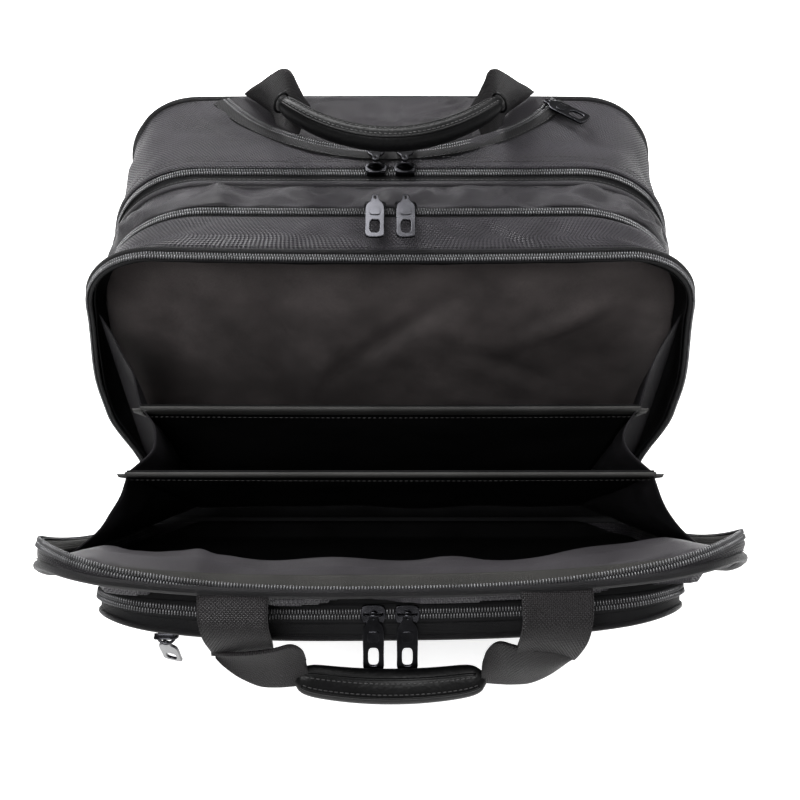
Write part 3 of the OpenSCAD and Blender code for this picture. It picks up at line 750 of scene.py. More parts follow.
def build_divider(which):
    """One divider: its cloth, and the binding, stitches and tabs along its upper edge."""
    spec, body = DIVIDERS[which], f"divider_{which}"
    half, top = spec["half"], spec["top"]
    x = np.linspace(-1, 1, 80)[:, None] * half
    h = np.linspace(6 * MM, top - 1 * MM, 60)[None, :]
    sag = HEM_SAG * np.cos(x / half * math.pi / 2) * smooth(h / top)
    d = spec["d"] + 1.5 * MM * ripple(x, h * 0.6, 31 + len(which), 110 * MM) * smooth((top - h) / (60 * MM))
    grid = folded(x, d, h - sag, spec["angle"])
    sheet = shell(f"{body}_cloth", grid, 1.6 * MM, DIVIDER, body, f"{body}_sheet")
    xs = np.linspace(-1, 1, 60) * (half + 1 * MM)
    hem = divider_hem(body, xs, **spec)
    divider_stitches(body, xs, **spec)
    tabs = [divider_tab(body, s, **spec) for s in (-1, 1)]


PLEAT_COLS, PLEAT_ROWS, PLEAT_LOW = 17, 44, 22 * MM


def pleat(name, node, edge_a, edge_b, fold, height):
    """Side cloth that folds between two turning edges, each given as (half width, depth, angle)."""
    t = np.linspace(0, 1, PLEAT_COLS)[None, :]
    h = np.linspace(PLEAT_LOW, height, PLEAT_ROWS)[:, None]
    (half_a, d_a, angle_a), (half_b, d_b, angle_b) = edge_a, edge_b
    bow = np.sin(math.pi * t)
    for s in (-1, 1):
        x = half_a * (1 - t) + half_b * t - fold * bow * smooth(h / height)
        x = x + 1.2 * MM * bow * ripple(t * 0.15, h, 41 + s, 70 * MM)
        depth = d_a * (1 - t) + d_b * t
        grid = folded(s * x, depth, h * np.ones_like(t), angle_a + (angle_b - angle_a) * t)
        stands_for = node if s < 0 else ()
        out = np.array([s * 1.0, 0, 0])
        obj = shell(f"{name}_{side_name(s)}", grid, 0.9 * MM, PLEAT, None, stands_for, out=out)
        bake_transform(obj)
        blend_across(obj, angle_a, angle_b)


def blend_across(obj, angle_a, angle_b):
    """Weights that run evenly from one turning edge to the other at every height."""
    y, z = coordinates(obj)[(PLEAT_ROWS - 1) * PLEAT_COLS, 1:]
    first = math.degrees(math.atan2(FRONT_Y - y, z - HINGE_Z))
    t = np.tile(np.linspace(0, 1, PLEAT_COLS), (PLEAT_ROWS, 1))
    set_blend(t[:, ::-1] if abs(first - angle_b) < abs(first - angle_a) else t)


def build_pleats():
    """Three pairs of side cloths, from the body to each divider and on to the front panel."""
    rear, front = [(spec["half"] + 1 * MM, spec["d"], spec["angle"]) for spec in DIVIDERS.values()]
    body = (half_width(FRONT_Y) - CLOTH + 0.5 * MM, 6 * MM, 0)
    panel = (HALF_W_FRONT - CLOTH - 3 * MM, -5 * MM, OPEN_ANGLE)
    pleat("rear_pleat", "accordion_rear", body, rear, 4 * MM, 248 * MM)
    pleat("middle_pleat", "accordion_middle", rear, front, 14 * MM, 246 * MM)
    pleat("front_pleat", "accordion_front", front, panel, 9 * MM, 244 * MM)


# ---- front panel ----
PANEL_LOOP = (212 * MM, 2 * MM, PANEL_H, 68 * MM, LOW_R)
POCKET_LOOP = (POCKET_HALF_W, POCKET_LOW, POCKET_TOP, 44 * MM, 20 * MM)
PANEL_REACH = 200 * MM
END_LIFT = 9 * MM
UPRIGHT_N, LEVEL_N, TOP_ARC_N, LOW_ARC_N = 44, 70, 22, 10
LOOP_SIDES_AND_TOP = 2 * UPRIGHT_N + LEVEL_N + 2 * TOP_ARC_N
LOOP_WAVE = 45 * MM
PANEL_UP = (0, 1, 0.4)


def panel_points(x, d, h, droop=1.0):
    """Points of the soft front panel. It bends back towards its corners, its zip edge droops forward in the
    middle, and its side wall is squashed near the top."""
    high = smooth((h - 100 * MM) / (200 * MM))
    lip = np.clip(1 + d / (21 * MM), 0, 1)
    out = (np.abs(x) / PANEL_REACH) ** 2.6
    bend = -2.3 * out - 0.5 * x / PANEL_REACH
    sink = (2.3 - 2.9 * out) * lip * smooth((h - 150 * MM) / (165 * MM)) * droop
    squash = (0.34 + 0.16 * np.minimum(out, 1.2)) * smooth((h - 225 * MM) / (70 * MM))
    squash = 1 - squash * smooth((24 * MM + d) / (3 * MM))
    pocket_end = np.clip(-d - TRAY_D, 0, POCKET_D) / POCKET_D * (np.abs(x) / POCKET_HALF_W) ** 4
    depth = np.where(d < -TRAY_D, d + END_LIFT * pocket_end * high, d * squash)
    return folded(x * (1 + 0.03 * high), depth, h, OPEN_ANGLE + (bend + sink) * high)


def loop(half_w, low, high, r_top, r_low):
    """(x, h) and outward normals once round a panel, clockwise from the lower left."""
    parts, normals = [], []

    def arc(cx, ch, r, start, n):
        a = np.linspace(start, start - math.pi / 2, n, endpoint=False)
        parts.append(np.stack([cx + r * np.cos(a), ch + r * np.sin(a)], 1))
        normals.append(np.stack([np.cos(a), np.sin(a)], 1))

    def line(x0, h0, x1, h1, n, normal):
        t = np.linspace(0, 1, n, endpoint=False)[:, None]
        parts.append(np.array([[x0, h0]]) * (1 - t) + np.array([[x1, h1]]) * t)
        normals.append(np.tile(np.array(normal, float), (n, 1)))

    line(-half_w, low + r_low, -half_w, high - r_top, UPRIGHT_N, (-1, 0))
    arc(-half_w + r_top, high - r_top, r_top, math.pi, TOP_ARC_N)
    line(-half_w + r_top, high, half_w - r_top, high, LEVEL_N, (0, 1))
    arc(half_w - r_top, high - r_top, r_top, math.pi / 2, TOP_ARC_N)
    line(half_w, high - r_top, half_w, low + r_low, UPRIGHT_N, (1, 0))
    arc(half_w - r_low, low + r_low, r_low, 0, LOW_ARC_N)
    line(half_w - r_low, low, -half_w + r_low, low, LEVEL_N, (0, -1))
    arc(-half_w + r_low, low + r_low, r_low, -math.pi / 2, LOW_ARC_N)
    return np.concatenate(parts), np.concatenate(normals)


def inset_loop(shape, inset):
    """A panel's loop drawn in by the same amount all round."""
    half_w, low, high, r_top, r_low = shape
    return half_w - inset, low + inset, high - inset, r_top - inset, r_low - inset


def loop_grid(shape, ds, lift, waves=0.0, seed=0):
    """A closed strip round a panel, at each depth in ds, lifted outwards, with its outward directions."""
    p, n = loop(*shape)
    run, ds = lengths(p)[:, None], np.asarray(ds)[None, :]
    bow = np.sqrt(np.sin(math.pi * np.linspace(0, 1, ds.size)[None, :]))
    raised = lift * bow + waves * bow * ripple(run, ds * 2, seed, LOOP_WAVE)
    nx, nh = n[:, None, 0], n[:, None, 1]
    x, h = p[:, None, 0] + nx * raised, p[:, None, 1] + nh * raised
    grid = panel_points(x, ds + 0 * x, h)
    return grid, unit(panel_points(x + nx * MM, ds + 0 * x, h + nh * MM) - grid)


def loop_strip(name, node, shape, d0, d1, lift, waves, seed, material, thick=2.0 * MM, count=9):
    """A closed strip of cloth round a panel, between two depths."""
    grid, out = loop_grid(shape, np.linspace(d0, d1, count), lift, waves, seed)
    shell(name, grid, thick, material, "front_panel", node, closed=True, out=out)


def loop_path(shape, d, lift, above=-1.0):
    """A path round a panel and its outward directions, where it is higher than a level."""
    grid, out = loop_grid(shape, np.array([d, d - 0.05 * MM]), 0.0)
    path = grid[:, 0] + out[:, 0] * lift
    keep = path[:, 2] > above
    return path[keep], out[keep, 0]


def filled(shape, n_across=90, n_up=70):
    """(x, h) points that fill a loop, as a grid whose rows bend with its rounded corners, and its own (s, t)."""
    half_w, low, high, rt, rl = shape
    s, t = np.linspace(-1, 1, n_across), np.linspace(0, 1, n_up)
    x = s * half_w
    top = high - rt + np.sqrt(np.maximum(0, rt**2 - np.maximum(0, np.abs(x) - half_w + rt) ** 2))
    bottom = low + rl - np.sqrt(np.maximum(0, rl**2 - np.maximum(0, np.abs(x) - half_w + rl) ** 2))
    h = bottom[:, None] + (top - bottom)[:, None] * t[None, :]
    return x[:, None] + 0 * h, h, s[:, None] + 0 * h, t[None, :] + 0 * h


def panel_face():
    """The outer cloth of the front panel, crowned between its edges."""
    x, h, s, t = filled(inset_loop(PANEL_LOOP, 3 * MM))
    fade = np.clip((1 - s**4) * np.sin(math.pi * t), 0, 1) ** 0.4
    depth = -TRAY_D + 0.5 * MM - fade * (1.0 * MM + 0.8 * MM * ripple(x, h, 53, 80 * MM))
    grid = panel_points(x, depth, h)
    out = panel_points(x, depth - MM, h) - grid
    shell("panel_face_cloth", grid, 2 * MM, NYLON, "front_panel", "panel_board", out=out)


def build_panel():
    side, lip = (-5.2 * MM, -18.5 * MM), inset_loop(PANEL_LOOP, 0.6 * MM)
    loop_strip("panel_gusset_cloth", "panel_gusset", PANEL_LOOP, *side, 1.4 * MM, 0.7 * MM, 51, GUSSET)
    loop_strip("panel_lip_tape", "front_zip_panel_half", lip, -0.4 * MM, -5.4 * MM, 0.2 * MM, 0.05 * MM, 52, TAPE)
    path = loop_path(PANEL_LOOP, -20.2 * MM, 0.4 * MM)[0]
    place = ("front_panel", "piping_cord", "panel_piping")
    tube("panel_edge_piping", path, 3.0 * MM, PIPING, *place, closed=True, up=PANEL_UP)
    zip_path = loop_path(PANEL_LOOP, -2.6 * MM, 0.9 * MM, above=BASE_TOP + 6 * MM)
    chain("front_zip_chain_on_panel", *zip_path, "front_panel")
    stitches("panel_gusset_stitch", *loop_path(PANEL_LOOP, -15.5 * MM, 1.6 * MM), "front_panel")
    panel_face()
    panel_lining(inset_loop(PANEL_LOOP, 6 * MM))
    inner_binding()


LINING_H = mm(0, 6, 24, 190, 232, 262, 282, 298, 315)
LINING_D = mm(-1, -2, -17, -17, -7, 6, 8, 2, -7)
LINING_SPLIT = 56


def panel_lining(shape):
    """The loose lining inside the front panel. It hangs back below and billows in a wavy roll below the zip."""
    x, h, _, _ = filled(shape, 130, 90)
    inside = smooth(np.clip((shape[0] - np.abs(x)) / (45 * MM), 0, 1))
    depth = -15 * MM * (1 - inside) + np.interp(h, LINING_H, LINING_D) * inside
    near_top = smooth((h - 200 * MM) / (50 * MM)) * inside
    folds = 2.6 * MM * ripple(x, h * 0.4, 54, 75 * MM) + 3.0 * MM * creases(x, h, 55, 40, 45 * MM, 1.5)
    depth = depth + near_top * folds
    depth = np.where(h > 300 * MM, np.minimum(depth, -4 * MM), depth)
    grid = panel_points(x, depth, h)
    toward = panel_points(x, depth + MM, h) - grid
    # The lower part of the lining is cut in the near-black divider cloth as painted shade, darker than the lining
    # above.
    upper, lower = slice(LINING_SPLIT, None), slice(0, LINING_SPLIT + 1)
    for name, part, cloth in (("panel_lining", upper, PANEL_LINING), ("panel_lining_lower", lower, DIVIDER)):
        lining = shell(name, grid[:, part], 1 * MM, cloth, "front_panel", out=toward[:, part])


def inner_binding():
    """The bound seam between the panel's lining and its zip, up the sides and over the top."""
    inner, outer = loop(*inset_loop(PANEL_LOOP, 7 * MM))[0], loop(*PANEL_LOOP)[0]
    outer = outer - (outer - inner) * 0.16
    t = np.linspace(0, 1, 9)[None, :]
    x, h = (inner[:, k : k + 1] * (1 - t) + outer[:, k : k + 1] * t for k in (0, 1))
    d = -6.5 * MM * (1 - t) - 1.6 * MM * t + 2.4 * MM * np.sin(math.pi * t)
    grid = panel_points(x, d, h, droop=t)[:LOOP_SIDES_AND_TOP]
    out = heading(1.0, 0.0, OPEN_ANGLE)
    shell("panel_inner_binding", grid, 1.2 * MM, BINDING, "front_panel", out=out)


# ---- front pocket ----
def pocket_sides():
    """The pocket's side walls, in black zip-tape cloth as painted shade, its zip and the piping round its face."""
    walls, tape, chain_d = (-TRAY_D + 1.5 * MM, FACE_D + 2 * MM), inset_loop(POCKET_LOOP, -0.4 * MM), POCKET_ZIP_D
    # The side walls use the black zip-tape cloth as painted shade.
    loop_strip("pocket_gusset_cloth", "pocket_gusset", POCKET_LOOP, *walls, 0.1 * MM, 0.12 * MM, 61, TAPE, count=12)
    ends = (chain_d + 6 * MM, chain_d - 6 * MM)
    loop_strip("pocket_zip_tape", "pocket_zip", tape, *ends, 1.0 * MM, 0.05 * MM, 62, TAPE, thick=1.0 * MM)
    chain("pocket_zip_chain", *loop_path(POCKET_LOOP, chain_d, 1.9 * MM, above=90 * MM), "front_panel")
    path = loop_path(POCKET_LOOP, FACE_D + 1.6 * MM, -0.2 * MM)[0]
    tube("pocket_edge_piping", path, 1.9 * MM, PIPING, "front_panel", "piping_cord", closed=True, up=PANEL_UP)


def lower_zip():
    """The zip across the pocket's face, on its own tape between two rows of stitches."""
    xs = np.linspace(-LOWER_ZIP_HALF, LOWER_ZIP_HALF, 60)
    x, h = np.meshgrid(xs, np.linspace(-6.5, 6.5, 6) * MM + LOWER_ZIP_H, indexing="ij")
    out = heading(-1.0, 0.0, OPEN_ANGLE)
    tape = panel_points(x, FACE_D - 0.8 * MM, h)
    shell("lower_zip_tape", tape, 1 * MM, TAPE, "front_panel", "lower_pocket_zip", out=out)
    path = panel_points(xs, FACE_D - 1.1 * MM, LOWER_ZIP_H)
    chain("lower_zip_chain", path, np.tile(out, (len(path), 1)), "front_panel")
    for k, off in enumerate(mm(-8.5, 8.5)):
        seam = panel_points(xs, FACE_D - 1.6 * MM, LOWER_ZIP_H + off)
        stitches(f"lower_zip_stitch_{k}", seam, out, "front_panel")


def build_pocket():
    pocket_sides()
    pocket_pad()
    lower_zip()


# ---- padded faces ----
PRESSURE, SWELL_FRAMES = 4.0, 20


def coordinates(obj):
    co = np.zeros(len(obj.data.vertices) * 3)
    obj.data.vertices.foreach_get("co", co)
    return co.reshape(-1, 3)


def set_coordinates(obj, co):
    obj.data.vertices.foreach_set("co", co.astype(np.float32).ravel())


def bake_modifiers(obj):
    """Replaces a mesh by what its modifiers make of it."""
    graph = bpy.context.evaluated_depsgraph_get()
    mesh = bpy.data.meshes.new_from_object(obj.evaluated_get(graph))
    obj.modifiers.clear()
    obj.data = mesh
    mesh.polygons.foreach_set("use_smooth", np.ones(len(mesh.polygons), bool))


def inflate(obj, voxel, cap):
    """Swells a closed pad by cloth simulation and keeps each point within cap of where it started."""
    remesh = obj.modifiers.new("remesh", "REMESH")
    remesh.mode = "VOXEL"
    remesh.voxel_size = voxel
    bake_modifiers(obj)
    start = coordinates(obj)
    cloth = obj.modifiers.new("cloth", "CLOTH")
    cloth.settings.use_pressure = True
    cloth.settings.uniform_pressure_force = PRESSURE
    cloth.settings.effector_weights.gravity = 0
    cloth.settings.quality = 5
    cloth.collision_settings.use_collision = False
    scene = bpy.context.scene
    for number in range(1, SWELL_FRAMES + 1):
        scene.frame_set(number)
    swollen = obj.evaluated_get(bpy.context.evaluated_depsgraph_get()).data.vertices
    move = np.array([v.co for v in swollen]) - start
    obj.modifiers.clear()
    scene.frame_set(1)
    far = np.linalg.norm(move, axis=1, keepdims=True)
    set_coordinates(obj, start + move * np.minimum(1, cap / np.maximum(far, 1e-9)))
    obj.data.update()


def pad(name, node, shape, counts, near, far, voxel, cap, to_world, body):
    """A cushion that fills a loop: a slab drawn flat, swollen, carried to its place and smoothed."""
    x, h, _, _ = filled(shape, *counts)
    faces_of_slab = [np.stack([x, depth + 0 * x, h], -1).reshape(-1, 3) for depth in (near, far)]
    n, m = x.shape
    at = np.arange(n * m).reshape(n, m)
    ring = np.concatenate([at[:, 0], at[-1, 1:], at[-2::-1, -1], at[0, -2:0:-1]])
    faces = [*quads(n, m)[:, ::-1], *quads(n, m, n * m), *rim(ring, np.roll(ring, -1), n * m)]
    obj = make(name, np.concatenate(faces_of_slab), faces, PAD_NYLON)
    inflate(obj, voxel, cap)
    set_coordinates(obj, to_world(coordinates(obj)))
    sub = obj.modifiers.new("smooth", "SUBSURF")
    sub.levels = sub.render_levels = 1
    bake_modifiers(obj)
    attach(obj, body)
    finished(obj, node)


def pocket_pad():
    """The padded face of the front pocket."""
    shape, depths = inset_loop(POCKET_LOOP, 2 * MM), (FACE_D + 1.0 * MM, FACE_D + 9 * MM)
    size, place = (4.5 * MM, 3 * MM), (lambda co: panel_points(*co.T), "front_panel")
    pad("pocket_face_pad", "pocket_face", shape, (60, 44), *depths, *size, *place)


def build_back():
    """The padded back panel."""
    y = BACK_SEAM_Y
    shape = (half_width(y) - 1 * MM, 5 * MM, TOP + 1 * MM, corner_radius(y) - 3 * MM, LOW_R - 4 * MM)
    depths, size = (BACK_Y - 12 * MM, BACK_Y - 2.5 * MM), (5 * MM, 4 * MM)
    pad("back_panel_pad", "rear_panel", shape, (70, 56), *depths, *size, lambda co: co, "bag")


# ---- rear pocket in the top ----
CRESCENT_ANGLES = np.radians(np.linspace(-51, 51, 150))


def top_z(x, y):
    return TOP - body_sag(x, y, np.full(np.broadcast(x, y).shape, TOP))


def crescent_points(r, angle, lift):
    """Points above the soft top, at a radius and an angle from the crescent's centre."""
    x, y = r * np.sin(angle), CRESCENT_Y - r * np.cos(angle)
    return np.stack([x, y, top_z(x, y) + lift], -1)


def crescent_satin():
    """The satin between the crescent's zip and the back seam, rumpled away from its edges."""
    chord, inner = BACK_Y - 8 * MM, CRESCENT_R - 5 * MM
    half = math.sqrt(inner**2 - (CRESCENT_Y - chord) ** 2)
    x, t = np.linspace(-half, half, 110)[:, None], np.linspace(0, 1, 40)[None, :]
    arc_y = CRESCENT_Y - np.sqrt(inner**2 - x**2)
    y = arc_y + (chord + 3 * MM - arc_y) * t
    fade = np.clip(np.sin(math.pi * t), 0, 1) ** 0.6 * np.clip(1 - (np.abs(x) / half) ** 6, 0, 1)
    calm = np.clip(1 - (np.abs(x) / (0.8 * half)) ** 4, 0, 1)
    folds = 2.2 * MM * ripple(x * 0.7, y * 1.5, 71, 46 * MM) + 3.8 * MM * creases(x, y, 72, 26, 40 * MM, 1.4)
    z = top_z(x, y) + 2.2 * MM + fade * (2.2 * MM + calm * smooth(t / 0.45) * folds)
    grid = np.stack([x + 0 * t, y, z], -1)
    satin = shell("rear_pocket_satin", grid, 1.0 * MM, SATIN, "bag", "rear_pocket_panel", out=UP)


def build_crescent():
    crescent_satin()
    r = np.linspace(CRESCENT_R - 1 * MM, CRESCENT_R + 8 * MM, 9)[None, :]
    hump = np.sqrt(np.clip(np.sin(math.pi * (r - r.min()) / (r.max() - r.min())), 0, 1))
    band = crescent_points(r, CRESCENT_ANGLES[:, None], CRESCENT_LIFT + 1.6 * MM * hump)
    nodes = ("rear_pocket_flap", "rear_pocket_zip")
    shell("rear_pocket_band", band, 1.6 * MM, BASE, "bag", nodes, out=UP)
    seam = crescent_points(CRESCENT_R + 7.2 * MM, CRESCENT_ANGLES, 2.8 * MM)
    stitches("rear_pocket_stitch_0", seam, UP, "bag")
    path = crescent_points(CRESCENT_R - 2.75 * MM, CRESCENT_ANGLES, 1.6 * MM)
    chain("rear_pocket_chain", path, np.tile(UP, (len(path), 1)), "bag")


# ---- handles ----
GRIP_BEND = 120 * MM
GRIP_RIDGES = ((58, 72), (122, 108))  # degrees round the grip of each ridge and of the stitches beside it
STRAP_COUNT, STRAP_WIDE = 60, 17
STRAP_SHIFT = {-1: 0.0, 1: 5.0}  # millimetres that each front strap stands off its mirrored place

# Points in millimetres along the two edges of the left straps, from the root to the grip.
REAR_STRAP_BACK = [
    (-107, 80, 340), (-99, 70, 351), (-90, 59, 362), (-80, 47, 375), (-71, 37, 385),
    (-66, 32, 385), (-62, 27, 379), (-58, 22, 373), (-54, 19, 368),
]
REAR_STRAP_FRONT = [
    (-78, 54, 335), (-79, 46, 338), (-79, 38, 342), (-78, 28, 347), (-76, 20, 351),
    (-73, 14, 353), (-70, 10, 354), (-67, 7, 355), (-62, 5, 355),
]
FRONT_STRAP_OUT = [
    (-108, -284, 258), (-108, -291, 257), (-107, -302, 252), (-105, -308, 243), (-102, -310, 232),
    (-100, -310, 224),
]
FRONT_STRAP_IN = [
    (-68, -284, 258), (-68, -291, 257), (-68, -302, 253), (-67, -308, 247), (-66, -310, 240), (-66, -310, 233),
]
FRONT_FOLD_TOP = [
    (-102, -309, 228), (-92, -311, 232), (-80, -312, 235), (-66, -311, 237), (-56, -309, 238), (-50, -309, 231),
    (-48, -311, 222),
]
FRONT_FOLD_LOW = [
    (-100, -310, 223), (-93, -314, 218), (-85, -317, 212), (-76, -318, 205), (-66, -318, 203), (-56, -318, 204),
    (-47, -318, 206),
]


def grip(name, path, up, body, node, wide, tall, ends=True):
    """A padded leatherette grip, ridged and stitched along its upper edges, with turned-in ends if asked."""
    n = len(path)
    t = np.linspace(-1, 1, n)
    swell = np.clip(1 - np.abs(t) ** 14, 0.0, 1) ** 0.5 * (0.88 + 0.12 * (1 - t**2))
    radius, place = wide * np.maximum(swell, 0.35), (LEATHER, body, "leatherette")
    tube(name, path, radius, *place, node, sides=28, flat=tall / wide, up=up)
    ahead = unit(np.gradient(path, axis=0))
    side = unit(np.cross(ahead, np.broadcast_to(np.asarray(up, float), path.shape)))
    lift = np.cross(side, ahead)
    keep = np.abs(t) < 0.965

    def around(degrees, reach=1.0, rise=1.0):
        a = math.radians(degrees)
        return math.cos(a) * side * reach + math.sin(a) * lift * rise

    for k, (ridge, seam) in enumerate(GRIP_RIDGES):
        line = path + swell[:, None] * around(ridge, wide, tall) - around(ridge) * 0.1 * MM
        tube(f"{name}_ridge_{k}", line[keep], 0.9 * MM, *place, sides=8, up=(0, 0.3, 1))
        line = path + swell[:, None] * around(seam, wide, tall) + around(seam) * 0.15 * MM
        stitches(f"{name}_stitch_{k}", line[keep], around(seam)[keep], body, 3.2 * MM, 2.2 * MM, 0.7 * MM)
    inset = int(n * 0.018)
    for k, at in enumerate((inset, n - 1 - inset) if ends else ()):
        turns = np.linspace(0, 2 * math.pi, 26, endpoint=False)[:, None]
        ring = path[at] + wide * 0.84 * np.cos(turns) * side[at] + tall * 0.84 * np.sin(turns) * lift[at]
        tube(f"{name}_end_{k}", ring, 0.9 * MM, *place, sides=8, closed=True, up=tuple(ahead[at]))


def grip_arc(centre, spread, flat, n=70):
    """A grip's bent centre line about its centre of bend, lying flat or standing upright."""
    a = np.radians(np.linspace(-spread, spread, n))
    x, drop, zero = GRIP_BEND * np.sin(a), -GRIP_BEND * np.cos(a), 0 * a
    return np.stack([x, drop, zero] if flat else [x, zero, drop], 1) + np.array(centre)


def strap(name, edges, s, body, node, bulge, root=None, bend=0.0, shift=0.0):
    """A length of webbing on side s between two edges. With a root body, it is baked where it stands and rides
    on no body."""
    edges = [np.array(edge) * [-s, 1, 1] + [shift, 0, 0] for edge in edges]
    a, b = (curve_through(edge, STRAP_COUNT)[:, None] * MM for edge in edges)
    v = np.linspace(0, 1, STRAP_WIDE)[None, :, None]
    grid = a * (1 - v) + b * v
    grid = grid + grid_normals(grid) * bulge * np.sin(math.pi * v)
    obj = shell(f"{name}_{side_name(s)}", grid, WEBBING_T, WEBBING, None if root else body, node)
    if root:
        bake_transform(obj)
        set_blend(np.repeat(smooth(np.linspace(0, 1, STRAP_COUNT) / bend), STRAP_WIDE))


def build_rear_handle():
    low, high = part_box("rear_grip")
    path = grip_arc((0, FRONT_Y + 190 * MM, (low[2] + high[2]) / 2 + 1 * MM), 38.7, flat=True)
    path = path + np.outer((path[:, 0] / (66 * MM)) ** 2, [0, 5 * MM, 6 * MM])
    grip("rear_grip_leather", path, (0, -0.25, 1.0), "rear_handle", "rear_grip", 7.4 * MM, 8.6 * MM)
    edges = (REAR_STRAP_BACK, REAR_STRAP_FRONT)
    for s in (-1, 1):
        node = f"rear_webbing_{side_name(s)}"
        strap("rear_strap", edges, s, "rear_handle", node, 0.8 * MM, root="bag", bend=0.3)


def build_front_handle():
    low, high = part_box("front_grip")
    y = (low[1] + high[1]) / 2 - 5.5 * MM
    path = grip_arc((0, y, low[2] + 37.5 * MM + GRIP_BEND), 27, flat=False)
    size = (10.5 * MM, 6.0 * MM)
    grip("front_grip_leather", path, (0, -0.64, 0.77), "front_handle", "front_grip", *size, ends=False)
    edges, fold = (FRONT_STRAP_OUT, FRONT_STRAP_IN), (FRONT_FOLD_TOP, FRONT_FOLD_LOW)
    for s, shift in STRAP_SHIFT.items():
        place = (s, "front_handle")
        node = f"front_webbing_{side_name(s)}"
        strap("front_strap", edges, *place, node, 0.6 * MM, root="front_panel", bend=0.7, shift=shift)
        strap("front_fold", fold, *place, (), 1.8 * MM, shift=shift)


# ---- zip hardware ----
def plate(outline, holes, thick, edge):
    """Raw mesh of a flat plate with holes and softly rounded edges, centred on z = 0."""
    curve = bpy.data.curves.new("plate", "CURVE")
    curve.dimensions = "2D"
    curve.fill_mode = "BOTH"
    curve.extrude = thick / 2 - edge
    curve.bevel_depth = edge
    curve.bevel_resolution = 2
    for points in [outline] + holes:
        spline = curve.splines.new("POLY")
        spline.points.add(len(points) - 1)
        for k, (x, y) in enumerate(points):
            spline.points[k].co = (x, y, 0, 1)
        spline.use_cyclic_u = True
    holder = bpy.data.objects.new("plate", curve)
    bpy.context.scene.collection.objects.link(holder)
    mesh = bpy.data.meshes.new_from_object(holder.evaluated_get(bpy.context.evaluated_depsgraph_get()))
    verts = np.array([v.co for v in mesh.vertices])
    faces = [tuple(p.vertices) for p in mesh.polygons]
    bpy.data.objects.remove(holder)
    bpy.data.curves.remove(curve)
    bpy.data.meshes.remove(mesh)
    return verts, faces


def rounded(points, share=0.25, times=2):
    """A closed outline given in millimetres, with its corners cut round."""
    p = np.array(points, float)
    for _ in range(times):
        ahead = np.roll(p, -1, 0)
        p = np.stack([p * (1 - share) + ahead * share, p * share + ahead * (1 - share)], 1).reshape(-1, 2)
    return p * MM


def rectangle(x0, y0, x1, y1):
    return [(x0, y0), (x1, y0), (x1, y1), (x0, y1)]


def bar(path, radius, sides=10):
    """Raw mesh of a round bar along a path."""
    ahead = unit(np.gradient(path, axis=0))
    side = unit(np.cross(ahead, np.array([0.0, 1.0, 0.01])))
    lift = np.cross(side, ahead)
    turns = np.linspace(0, 2 * math.pi, sides, endpoint=False)
    rings = [path + radius * (math.cos(a) * side + math.sin(a) * lift) for a in turns]
    n = len(path)
    ends = [range(sides)[::-1], range((n - 1) * sides, n * sides)]
    return np.stack(rings, 1).reshape(-1, 3), [*hoops(n, sides), *ends]


def placed(piece, parts, origin, x_axis, y_axis, name=None, body=None):
    """Joins raw meshes as one metal piece at an origin, with two of their axes given."""
    verts, faces, start = [], [], 0
    for v, f in parts:
        verts.append(v)
        faces += [tuple(k + start for k in face) for face in f]
        start += len(v)
    v = np.concatenate(verts)
    x_axis, y_axis = np.array(x_axis, float), np.array(y_axis, float)
    world = np.array(origin) + v[:, :1] * x_axis + v[:, 1:2] * y_axis + v[:, 2:] * np.cross(x_axis, y_axis)
    obj = make(f"{name or piece}_metal", world, faces, METAL, body or piece)
    edge = obj.modifiers.new("edges", "EDGE_SPLIT")
    edge.split_angle = math.radians(38)
    finished(obj, piece)


def slider_parts():
    """A slider: its shield, the two lips that hold the coils and the bridge for its pull."""
    half = [(5, -5.0), (7, -2.6), (7, 2.6), (5, 5.0)]
    shield, faces = plate(rounded([(-7, -3.4), (-5, -5.0), *half, (-5, 5.0), (-7, 3.4)]), [], 1.5 * MM, 0.5 * MM)
    lip, lip_faces = plate(rounded(rectangle(-6, -0.55, 6, 0.55)), [], 3.2 * MM, 0.3 * MM)
    lips = [(lip + mm(0, s * 4.5, 1.4), lip_faces) for s in (-1, 1)]
    rise = [(-5.4, 3.2), (-4.2, 5.2), (-1.8, 6.9), (0, 7.2), (1.8, 6.9), (4.2, 5.2), (5.4, 3.2)]
    bridge = curve_through([(x, 0, z) for x, z in rise], 21) * MM
    return [(shield + mm(0, 0, 3.0), faces), *lips, bar(bridge, 0.95 * MM)]


PULL_L, PULL_HALF = 35, 5.9


def pull_parts():
    """A pull: a plate with a loop for the bridge and a window, and a raised boss between them."""
    end, w = PULL_L, PULL_HALF
    right = [(2.1, -2.0), (2.1, 3.6), (w - 0.6, 6.5), (w, 12), (w - 0.3, end - 8), (w, end - 2), (w - 1.5, end)]
    left = [(-x, y) for x, y in right[::-1]]
    loop_hole = rounded(rectangle(-1.1, -0.9, 1.1, 2.4))
    window = rounded(rectangle(-w + 2.3, end - 15, w - 2.3, end - 2.8), share=0.2, times=3)
    boss, boss_faces = plate(rounded(rectangle(-3.2, 10, 3.2, 16.4), share=0.15), [], 0.9 * MM, 0.3 * MM)
    body = plate(rounded([left[-1], *right, *left[:-1]]), [loop_hole, window], 1.8 * MM, 0.5 * MM)
    return [body, (boss + mm(0, 0, 1.0), boss_faces)]


def turn_about_x(vector, degrees):
    a = math.radians(degrees)
    x, y, z = vector
    return (x, y * math.cos(a) - z * math.sin(a), y * math.sin(a) + z * math.cos(a))


REST_TILT, POCKET_HANG = 6, 14
SLIDER_X = 10 * MM
LOWER_SWING = unit(np.array([-0.06, 0.13, -0.92]))
POCKET_LIFT = 0.6 * MM
SMALL_SLIDER = np.array([0.85, 0.6, 0.72])


